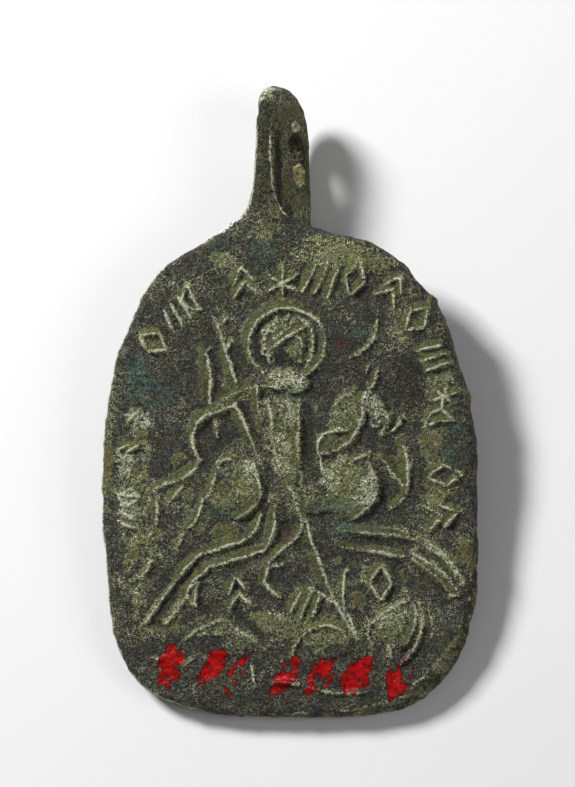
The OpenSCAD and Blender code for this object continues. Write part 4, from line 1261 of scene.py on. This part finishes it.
def lug_masks(found, points, rim, ragged, s):
    """Adds the wear of the lug to the masks at each vertex, with painted shade in the groove and bore and
    painted highlights on the ridges and tip: groove, ridges, tip, foot, scale and bore.
    """
    x, y, z = points.T
    side, depth = lug_axes(x, y, z, s)
    half = lug_half(y, s)
    on_lug = smooth_step(y - s.plate_top, *ON_LUG)
    right = smooth_step(side / half, *LUG_RIGHT)
    tip = smooth_drop(s.lug_top - y, *TIP_BELOW_TOP) * smooth_drop(depth, *TIP_BEHIND_FRONT)
    groove = hill(depth, GROOVE_SHADE_AT, GROOVE_SHADE_WIDTH, 4) * right * lug_span(y, GROOVE_SHADE_SPAN, s)
    # Pale edge wear of the lug's ridges, with painted edge highlights
    strip = hill(rim, RIDGE_AT, RIDGE_WIDTH) * smooth_step(z - s.plate_thickness, *FACE_FADES["ridge"])
    strip *= lug_span(y, RIDGE_SPAN, s)
    on_right = smooth_step(x - s.lug_offset, -RIDGE_MIDDLE, RIDGE_MIDDLE)
    raise_map(found, "pale", strip * on_right * from_pair(RIGHT_RIDGE_PALE, ragged))
    raise_map(found, "pale", strip * (1 - on_right) * from_pair(LEFT_RIDGE_PALE, ragged))
    # Pale wear on the lug's tip, with a painted highlight on its top
    raise_map(found, "pale", tip * from_pair(TIP_PALE, ragged))
    raise_map(found, "olive", on_lug * RIGHT_OLIVE * right * (1 - groove))
    raise_map(found, "olive", on_lug * tip * TIP_OLIVE)
    # Painted shade in the groove down the lug's right side
    raise_map(found, "dark", groove)
    raise_map(found, "dark", on_lug * (1 - tip) * np.where(side < half * DARK_LEFT_OF, LEFT_DARK, RIGHT_DARK))
    raise_map(found, "bevel", on_lug * (1 - groove) * from_pair(LUG_BEVEL, right))
    foot = smooth_step(depth, *FOOT_DEEP) * smooth_drop(y - s.plate_top, *FOOT_OVER)
    foot *= smooth_step(side, *FOOT_SIDE) * smooth_step(y - s.plate_top, *FOOT_LOW)
    raise_map(found, "olive", foot)
    found["scale"] = np.zeros(len(points))
    behind, over = depth - s.hole_depth, y - s.hole_y
    for at_depth, at_height, deep, high, strength in SCALES:
        away = np.hypot((behind - at_depth) / deep, (over - at_height) / high)
        spot = smooth_drop(away + SCALE_RAGGED * ragged, *SCALE_RIM) * smooth_step(side, *SCALE_SIDE)
        raise_map(found, "scale", strength * spot * on_lug)
    # Painted shade in the bore, darker in its lower part, with crust in it
    away = np.hypot(behind - BORE_LEAN * side, (over + BORE_SHADE_DROP) * BORE_SHADE_FLAT)
    bore = smooth_drop(away, *BORE_SHADE_RIM) * on_lug
    roof = smooth_step(over, *BORE_ROOF)
    raise_map(found, "dark", bore * from_pair(BORE_DARK, roof))
    found["crust"] *= 1 - bore
    raise_map(found, "crust", bore * from_pair(BORE_CRUST, roof))
    rear = smooth_step(behind, *REAR_DEEP) * smooth_drop(np.abs(over + REAR_DROP), *REAR_HIGH)
    raise_map(found, "crust", REAR_CRUST * rear * right * on_lug)
    stained = on_lug * (1 - groove) * (1 - bore)
    raise_map(found, "crust", (from_pair(LUG_CRUST, ragged) + RIGHT_CRUST * right) * stained)
    raise_map(found, "moss", from_pair(LUG_MOSS, ragged) * stained * (1 - tip))


def casting_masks(points, normals, axes, masks, outline, s):
    """Masks of the finish at each vertex: the drawing's on the face, and the wear, painted highlights and
    painted shade of the rim and the lug.
    """
    over_face = points[:, 2] - s.plate_thickness
    front = smooth_step(normals[:, 2], *FACING) * smooth_step(over_face, *FACE_FADES["face"])
    found = {name: sample(values, axes, points) * front for name, values in masks.items()}
    for name in ("crust", "white"):
        edge = smooth_step(over_face, *FACE_FADES["crust"])
        raise_map(found, name, sample(masks[name], axes, points) * edge)
    ragged = layered_noise(points, RAGGED_WEAR, 0.5)
    rim = sample(outline, axes, points)
    rim_masks(found, points, rim, ragged, front, s)
    lug_masks(found, points, rim, ragged, s)
    return found


def rest_matrix(s):
    """Turns the plate's frame, in millimetres, into the resting place, in metres."""
    drop = (s.lug_depth - s.lug_edge) * math.cos(s.lug_twist)
    drop += (s.lug_thickness / 2 - s.lug_edge) * math.sin(s.lug_twist) + s.lug_edge - s.plate_thickness
    tilt = math.atan(drop / (s.plate_top - s.edge_round))
    lug_back = s.lug_depth * math.cos(s.lug_twist)
    reach = math.hypot(s.lug_tip_height * math.cos(tilt), lug_back * math.sin(tilt))
    near = -(s.plate_thickness - s.edge_round) * math.sin(tilt)
    back_top = s.plate_top + s.lug_height - s.lug_tip_height
    far = back_top * math.cos(tilt) - s.plate_thickness * math.sin(tilt) + reach
    low = s.edge_round * math.sin(tilt)
    place = Matrix.Translation((0, -(near + far) / 2, -low)) @ Matrix.Rotation(tilt, 4, "X")
    return Matrix.Scale(MM, 4) @ place


def thinned(casting, points, s):
    """The casting's mesh with the fine faces of its plain back joined into larger ones."""
    back = casting.vertex_groups.new(name="plain_back")
    plain = np.nonzero((points[:, 2] < PLAIN_BACK) & (points[:, 1] < s.plate_top - PLAIN_BELOW))[0]
    back.add(plain.tolist(), 1.0, "REPLACE")
    modifier = casting.modifiers.new("Thin back", "DECIMATE")
    modifier.vertex_group = back.name
    modifier.ratio = TRIANGLES / (2 * len(casting.data.polygons))
    bpy.context.view_layer.update()
    seen = casting.evaluated_get(bpy.context.evaluated_depsgraph_get())
    mesh = bpy.data.meshes.new_from_object(seen)
    casting.modifiers.clear()
    casting.vertex_groups.clear()
    casting.data = mesh
    return mesh


class Shade:
    """A socket of a node tree, so that shader maths is written as Python expressions."""

    def __init__(self, tree, socket=None):
        self.tree = tree
        self.socket = socket

    def node(self, kind, values=None, settings=None, out=0):
        """Adds a node, with its settings set before the values or links of its sockets."""
        made = self.tree.nodes.new(kind)
        for name, value in (settings or {}).items():
            setattr(made, name, value)
        for name, value in (values or {}).items():
            if isinstance(value, Shade):
                self.tree.links.new(value.socket, made.inputs[name])
            else:
                made.inputs[name].default_value = value
        return Shade(self.tree, made.outputs[out] if made.outputs else None)

    def maths(self, operation, *values):
        """A number worked out from others."""
        return self.node("ShaderNodeMath", dict(enumerate(values)), {"operation": operation})

    def __add__(self, other):
        return self.maths("ADD", self, other)

    def __radd__(self, other):
        return self.maths("ADD", other, self)

    def __sub__(self, other):
        return self.maths("SUBTRACT", self, other)

    def __rsub__(self, other):
        return self.maths("SUBTRACT", other, self)

    def __mul__(self, other):
        return self.maths("MULTIPLY", self, other)

    def __rmul__(self, other):
        return self.maths("MULTIPLY", other, self)

    def between(self, low, high):
        """0 below low, 1 above high, and a smooth rise between them."""
        values = {"Value": self, "From Min": low, "From Max": high}
        return self.node("ShaderNodeMapRange", values, {"interpolation_type": "SMOOTHSTEP"})

    def mask(self, name):
        """A mask that the mesh carries at its vertices."""
        return self.node("ShaderNodeAttribute", settings={"attribute_name": name}, out="Fac")

    def noise(self, place, size, detail=2.0, rough=0.5):
        """Noise of a size in millimetres."""
        values = {"Vector": place, "Scale": 1 / size, "Detail": detail, "Roughness": rough}
        return self.node("ShaderNodeTexNoise", values)

    def vector(self, operation, *values, **more):
        """A vector or colour worked out from others."""
        values = {**dict(enumerate(values)), **more}
        return self.node("ShaderNodeVectorMath", values, {"operation": operation})

    def mix(self, factor, first, second):
        """A colour between two."""
        values = {0: factor, 6: rgba(first), 7: rgba(second)}
        return self.node("ShaderNodeMix", values, {"data_type": "RGBA"}, out=2)


def rgba(color):
    """Four channels from three; a colour that nodes work out stays as it is."""
    return color if isinstance(color, Shade) else (*color, 1.0)


def new_material(name):
    """An empty material, with a Shade for its nodes and the object's own coordinates."""
    material = bpy.data.materials.new(name)
    material.use_nodes = True
    material.node_tree.nodes.clear()
    make = Shade(material.node_tree)
    return material, make, make.node("ShaderNodeTexCoord", out="Object")


def bronze_material(colors):
    """Old bronze: a dark mottled patina with olive and pale deposits, stains, crusts and worn red paint."""
    material, make, place = new_material("old_bronze")
    place = make.vector("SCALE", place, Scale=1 / MM)
    fields = {name: make.noise(place, *row) for name, row in NOISES.items()}
    fields.update({name: make.mask(name) for name in MASK_NAMES})

    def weigh(shares):
        first, *rest = [fields[name] * share for name, share in shares.items()]
        return sum(rest, first)

    def patch(name, mask, breaker="broken"):
        amount, low, high = PATCHES[name]
        return (fields[mask] * (1 + fields[breaker] * amount)).between(low, high)

    def coat(tone, name, cover, color):
        return make.mix(cover * COATS[name], tone, color)

    for name, (shares, level) in MOTTLES.items():
        fields[name] = weigh(shares) - level
    for name, (shares, low, high) in COVERS.items():
        fields[name] = weigh(shares).between(low, high)
    f = SimpleNamespace(**fields)
    calm = patch("slope", "slope")
    smooth = patch("bevel", "bevel", "ragged")
    # The pale mask holds worn crests, pale dust and the painted highlights of the plate's rim and the lug
    worn = CREST_COVER + f.ragged * CREST_RAGGED + (1 - f.pale) * f.broken * CREST_BROKEN
    crest = (f.pale * worn).between(*CREST_EDGES)
    sparkle = (weigh(SPARKLE_SHARES) + SPARKLE) * (1 - CALM_TAKES * calm)
    clean_and_unshaded = 1 - DARK_HIDES * f.dark

    tone = make.mix(f.shift, colors.patina_dark, colors.patina)
    tone = coat(tone, "warm", f.warm, colors.umber)
    dusty = make.mix(f.dusty, colors.olive_green, colors.olive)
    tone = coat(tone, "deposit", f.deposit * clean_and_unshaded, dusty)
    tone = coat(tone, "slope", calm, colors.slope)
    tone = coat(tone, "rim", make.maths("MAXIMUM", patch("rim", "moss"), patch("rim", "crust")), colors.olive)
    tone = coat(tone, "moss", patch("moss", "moss"), colors.moss)
    tone = coat(tone, "bevel", smooth, make.mix(f.shift, colors.umber, colors.bevel))
    # The dark mask, dark patina and painted shade beside the lines, in hollows and gaps and in the lug's
    # groove and bore, darkens the tone
    tone = coat(tone, "recess", f.recess, colors.recess)
    tone = make.vector("MULTIPLY", tone, make.mix(f.yellow, colors.grey_cast, colors.yellow_cast))
    tone = make.vector("MULTIPLY", tone, make.mix(f.brown, colors.green_cast, colors.brown_cast))
    fleck = f.fleck * clean_and_unshaded * (1 - OLIVE_HIDES * f.olive) * sparkle
    tone = coat(tone, "fleck", fleck * (1 - SMOOTH_HIDES * smooth.between(*SMOOTH_EDGES)), colors.pale)
    tone = coat(tone, "crest", crest, colors.pale)
    tone = coat(tone, "teal", patch("teal", "teal"), colors.teal)
    tone = coat(tone, "red", patch("red", "red"), colors.red_trace)
    tone = coat(tone, "crust", patch("crust", "crust"), make.mix(f.shift, colors.crust_dark, colors.crust))
    scaly = f.shift * (1 - SCALE_LEAST) + SCALE_LEAST
    tone = make.mix(patch("scale", "scale"), tone, make.mix(scaly, colors.crust, colors.scale))

    # Grain that darkens and lightens the tone, partly the skin's own speckle and partly painted glints and
    # shade
    power = (f.grain - 0.5) * GRAIN_GAIN + (f.speck - 0.5) * SPECK_GAIN
    power = power * (sparkle * (1 - CREST_TAKES * crest))
    value = make.maths("POWER", 2.0, power - GRAIN_DARKER)
    bright = make.node("ShaderNodeRGBToBW", {"Color": tone}) * make.maths("MAXIMUM", value - 1, 0.0)
    tone = make.vector("SCALE", tone, Scale=make.maths("MINIMUM", value, 1.0))
    tone = make.vector("ADD", tone, bright)
    tone = make.mix(f.painted, tone, make.mix(f.thick, colors.paint_dark, colors.paint))
    tone = make.mix(patch("white", "white"), tone, colors.white)

    rough = BARE_ROUGH + weigh(ROUGH_SHARES)
    height = weigh(BUMPS) * (1 - PAINT_FILLS * f.painted) + f.deposit * DEPOSIT_BUMP
    values = {
        "Base Color": tone,
        "Roughness": rough * (1 - f.painted) + f.painted * PAINT_ROUGH,
        "Metallic": (1 - f.painted) * BARE_METAL,
        "Specular IOR Level": SPECULAR,
        "Normal": make.node("ShaderNodeBump", {"Height": height, "Distance": MM, "Strength": 1.0}),
    }
    make.node("ShaderNodeOutputMaterial", {"Surface": make.node("ShaderNodeBsdfPrincipled", values)})
    return material


def floor_material(color):
    """A plain pale board with the faintest unevenness."""
    material, make, place = new_material("pale_board")
    tone = make.mix(make.noise(place, FLOOR_CLOUD), [FLOOR_DARKER * channel for channel in color], color)
    shader = make.node("ShaderNodeBsdfPrincipled", {"Base Color": tone, "Roughness": FLOOR_ROUGH})
    make.node("ShaderNodeOutputMaterial", {"Surface": shader})
    return material


def number(name, description, value, **more):
    """A number property."""
    return FloatProperty(name=name, description=description, default=value, **more)


def length(name, description, value, least=0.0):
    """A size property, given in millimetres and kept in metres."""
    return number(name, description, value * MM, unit="LENGTH", precision=5, min=least * MM)


def tint(name, description, value):
    """A colour property."""
    return FloatVectorProperty(
        name=name, description=description, default=value, subtype="COLOR", size=3, min=0.0, max=1.0
    )


class PendantSizes(bpy.types.PropertyGroup):
    """Sizes of the casting."""

    plate_width: length("Plate width", "Width at its widest row", (NODE_HIGH[0] - NODE_LOW[0]) / MM)
    foot_height: length("Foot height", "Height from the foot up to the widest row", 17.2)
    shoulder_height: length("Shoulder height", "Height from the widest row up to the shoulder", 22.0)
    plate_thickness: length("Plate thickness", "Thickness of the plate", 1.9)
    edge_round: length("Edge rounding", "Rounding of the plate's edge", 0.4)
    foot_squareness: number("Foot squareness", "How square the lower half of the outline is", 3.45, min=2.0)
    shoulder_squareness: number("Shoulder squareness", "How square the upper half of it is", 2.4, min=2.0)
    lug_height: length("Lug height", "Height of the lug above the plate", 11.0)
    lug_depth: length("Lug depth", "Depth of the lug from front to back", 6.8)
    lug_thickness: length("Lug thickness", "Thickness of the lug where it leaves the plate", 2.1)
    lug_tip_thickness: length("Lug tip thickness", "Thickness of the lug at its tip", 1.5)
    lug_tip_height: length("Lug tip height", "Height of the lug's rounded tip", 5.2)
    lug_edge: length("Lug edge", "Rounding of the lug's long edges", 0.6)
    lug_offset: length("Lug offset", "Sideways place of the lug's front edge", -2.05, -10.0)
    lug_twist: number("Lug twist", "Turn of the lug about its own upright", math.radians(15), subtype="ANGLE")
    gusset_height: length("Gusset height", "Reach of the lug's gusset down the plate's back", 3.4)
    hole_radius: length("Hole radius", "Radius of the hole for the cord", 1.3)
    hole_height: length("Hole height", "Height of the hole above the plate", 6.2)
    hole_depth: length("Hole depth", "Distance of the hole from the lug's front edge", 4.1)
    line_height: length("Line height", "Height of the cast lines over the face", 0.36)
    mass_height: length("Mass height", "Height of the broad forms over the face", 0.25)
    mark_height: length("Mark height", "Height of the border marks over the face", 0.35)
    mark_width: length("Mark width", "Width of the strokes of the border marks", 0.30)
    grid_step: length("Grid step", "Distance between the points of the skin", 0.14)


class PendantColors(bpy.types.PropertyGroup):
    """Colours of the finish."""

    patina: tint("Patina", "Grey-green skin of the bronze", (0.052, 0.056, 0.041))
    patina_dark: tint("Dark patina", "Violet grey parts of the skin", (0.035, 0.033, 0.034))
    umber: tint("Umber", "Warm brown tinge of parts of the skin", (0.050, 0.048, 0.021))
    bevel: tint("Bevel", "Smooth brown skin of the bevelled edge and the lug", (0.210, 0.200, 0.115))
    olive: tint("Olive", "Yellow-olive deposits on the slopes and broad forms", (0.225, 0.225, 0.082))
    olive_green: tint("Green olive", "Greener deposits between them", (0.102, 0.120, 0.041))
    # Pale worn crests, pale flecks that are partly painted glints, and painted highlights on the rim and lug
    pale: tint("Pale", "Pale worn crests and flecks", (0.54, 0.58, 0.395))
    # Dark dirt, and painted shade beside the lines and in hollows, gaps, the lug's groove and its bore
    recess: tint("Recess", "Dirt in the recesses", (0.024, 0.0235, 0.018))
    slope: tint("Slope", "Smooth olive skin on the gentle side of the lines", (0.072, 0.075, 0.033))
    moss: tint("Moss", "Small yellow-green spots", (0.095, 0.092, 0.020))
    yellow_cast: tint("Yellow cast", "Multiplies the yellower parts of every colour", (1.0, 1.0, 0.66))
    grey_cast: tint("Grey cast", "Multiplies the greyer parts of every colour", (0.98, 0.97, 1.0))
    brown_cast: tint("Brown cast", "Multiplies the browner parts of every colour", (1.0, 0.935, 0.90))
    green_cast: tint("Green cast", "Multiplies the greener parts of every colour", (0.90, 0.99, 0.94))
    teal: tint("Verdigris", "Blue-green spots", (0.052, 0.108, 0.078))
    red_trace: tint("Red trace", "Dark red-brown traces", (0.080, 0.028, 0.024))
    crust: tint("Crust", "Brown crusts", (0.118, 0.084, 0.036))
    crust_dark: tint("Dark crust", "Darker brown in the crusts", (0.062, 0.044, 0.020))
    scale: tint("Scale", "Pale scale round the hole", (0.62, 0.57, 0.23))
    paint: tint("Paint", "Worn red paint", (0.40, 0.0008, 0.0006))
    paint_dark: tint("Dark paint", "Thin and dirty red paint", (0.10, 0.002, 0.0015))
    white: tint("White", "White spots", (0.85, 0.85, 0.83))


class StageSettings(bpy.types.PropertyGroup):
    """Floor, light and camera."""

    floor: tint("Floor", "Colour of the floor", (0.78, 0.78, 0.78))
    key: number("Key light", "Power of the main light", 1.75, unit="POWER")
    fill: number("Fill light", "Power of the soft second light", 0.40, unit="POWER")
    sky: number("Surroundings", "Brightness of the surroundings", 0.13, min=0.0)
    distance: number("Camera distance", "Distance of the camera", 0.6, unit="LENGTH")
    scale: number("Picture scale", "Pixels of the picture to a millimetre", 12.54)


def sizes_in_mm(sizes):
    """The sizes as plain numbers in millimetres, with those that follow from them."""
    s = SimpleNamespace()
    for name in sizes.bl_rna.properties.keys():
        value = getattr(sizes, name)
        if isinstance(value, float):
            is_length = sizes.bl_rna.properties[name].unit == "LENGTH"
            setattr(s, name, value / MM if is_length else value)
    s.plate_top = s.foot_height + s.shoulder_height
    s.lug_top = s.plate_top + s.lug_height
    s.hole_y = s.plate_top + s.hole_height
    return s


class AMULET_OT_cast_pendant(bpy.types.Operator):
    """Casts the pendant as one skin, with its relief, lug and hole, and gives it its old bronze finish"""

    bl_idname = "amulet.cast_pendant"
    bl_label = "Cast the pendant"

    def execute(self, context):
        s = sizes_in_mm(context.scene.pendant_sizes)
        field, axes, masks, outline = cast_field(s)
        points, faces = skin(field, axes)
        mesh = bpy.data.meshes.new("amulet_cast")
        mesh.from_pydata(points, [], faces)
        mesh.update()
        casting = bpy.data.objects.new("amulet_cast", mesh)
        context.scene.collection.objects.link(casting)
        mesh = thinned(casting, points, s)
        mesh.shade_smooth()
        points, normals = read_rows(mesh.vertices, "co"), read_rows(mesh.vertex_normals, "vector")
        over_face = points[:, 2] - s.plate_thickness
        crest = sample(masks["pale"], axes, points) * smooth_step(over_face, *FACE_FADES["crest"])
        rise = layered_noise(points, SKIN_GRAIN) * (1 - CREST_SMOOTHER * crest)
        points += normals * rise[:, None]
        found = casting_masks(points, normals, axes, masks, outline, s)
        for name in MASK_NAMES:
            mask = mesh.attributes.new(name, "FLOAT", "POINT")
            mask.data.foreach_set("value", np.clip(found[name], 0, 1).astype(np.float32))
        rest = np.array(rest_matrix(s))
        points = points @ rest[:3, :3].T + rest[:3, 3]
        points[:, 2] = np.maximum(points[:, 2], 0)
        mesh.vertices.foreach_set("co", points.astype(np.float32).ravel())
        mesh.update()
        mesh.materials.clear()
        mesh.materials.append(bronze_material(context.scene.pendant_colors))
        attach(casting, "root")
        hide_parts(NODE)
        return {"FINISHED"}


def area_light(name, size, power, place, target):
    """A square soft light that points at a target."""
    light = bpy.data.lights.new(name, "AREA")
    light.size = size
    light.energy = power
    lamp = bpy.data.objects.new(name, light)
    lamp.location = place
    lamp.rotation_mode = "QUATERNION"
    lamp.rotation_quaternion = (Vector(target) - Vector(place)).to_track_quat("-Z", "Y")
    bpy.context.scene.collection.objects.link(lamp)


class AMULET_OT_set_stage(bpy.types.Operator):
    """Lays a plain pale floor, sets soft light and looks at the pendant from the picture's angle"""

    bl_idname = "amulet.set_stage"
    bl_label = "Set the stage"

    def execute(self, context):
        settings = context.scene.stage_settings
        s = sizes_in_mm(context.scene.pendant_sizes)
        rest = rest_matrix(s)
        turn = rest.to_3x3().normalized()

        half = FLOOR_SIZE / 2
        mesh = bpy.data.meshes.new("floor")
        corners = [(-half, -half, 0), (half, -half, 0), (half, half, 0), (-half, half, 0)]
        mesh.from_pydata(corners, [], [(0, 1, 2, 3)])
        mesh.materials.append(floor_material(settings.floor))
        floor = bpy.data.objects.new("floor", mesh)
        context.scene.collection.objects.link(floor)

        target = rest @ Vector((*AIM, s.plate_thickness))
        for name, size, power, way, away in (
            ("key", KEY_SIZE, settings.key, KEY_WAY, KEY_AWAY),
            ("fill", FILL_SIZE, settings.fill, FILL_WAY, FILL_AWAY),
        ):
            area_light(name, size, power, target + turn @ Vector(way).normalized() * away, target)
        world = bpy.data.worlds.new("surroundings")
        world.use_nodes = True
        background = world.node_tree.nodes["Background"]
        background.inputs["Color"].default_value = (1, 1, 1, 1)
        background.inputs["Strength"].default_value = settings.sky
        context.scene.world = world
        context.scene.view_settings.view_transform = "Standard"

        back = Vector(VIEW_WAY).normalized()
        right = Vector((0, 1, 0)).cross(back).normalized()
        up = back.cross(right)
        axes = Matrix((turn @ right, turn @ up, turn @ back)).transposed()
        camera = bpy.data.cameras.new("camera")
        camera.sensor_width = SENSOR
        camera.lens = SENSOR * settings.distance / (PICTURE_HEIGHT / settings.scale * MM)
        camera.clip_start = CLIP_START
        viewer = bpy.data.objects.new("camera", camera)
        viewer.matrix_world = Matrix.Translation(target + turn @ back * settings.distance) @ axes.to_4x4()
        viewer.matrix_world = viewer.matrix_world @ Matrix.Rotation(CAMERA_ROLL, 4, "Z")
        context.scene.collection.objects.link(viewer)
        context.scene.camera = viewer
        return {"FINISHED"}


class AMULET_PT_panel(bpy.types.Panel):
    """Lists the sizes, colours and steps of the pendant"""

    bl_label = "Amulet Pendant"
    bl_idname = "AMULET_PT_panel"
    bl_space_type = "VIEW_3D"
    bl_region_type = "UI"
    bl_category = "Amulet"

    def draw(self, context):
        layout = self.layout
        for operator in OPERATORS:
            layout.operator(operator.bl_idname)
        for name in GROUPS:
            group = getattr(context.scene, name)
            box = layout.box()
            for prop in group.bl_rna.properties.keys():
                if prop not in ("rna_type", "name"):
                    box.prop(group, prop)


GROUPS = {"pendant_sizes": PendantSizes, "pendant_colors": PendantColors, "stage_settings": StageSettings}
OPERATORS = (AMULET_OT_cast_pendant, AMULET_OT_set_stage)
CLASSES = (*GROUPS.values(), *OPERATORS, AMULET_PT_panel)


def register():
    for cls in CLASSES:
        bpy.utils.register_class(cls)
    for name, group in GROUPS.items():
        setattr(bpy.types.Scene, name, PointerProperty(type=group))


def unregister():
    for name in GROUPS:
        delattr(bpy.types.Scene, name)
    for cls in reversed(CLASSES):
        bpy.utils.unregister_class(cls)


def main():
    register()
    bpy.ops.amulet.cast_pendant()
    bpy.ops.amulet.set_stage()


if __name__ == "__main__":
    main()
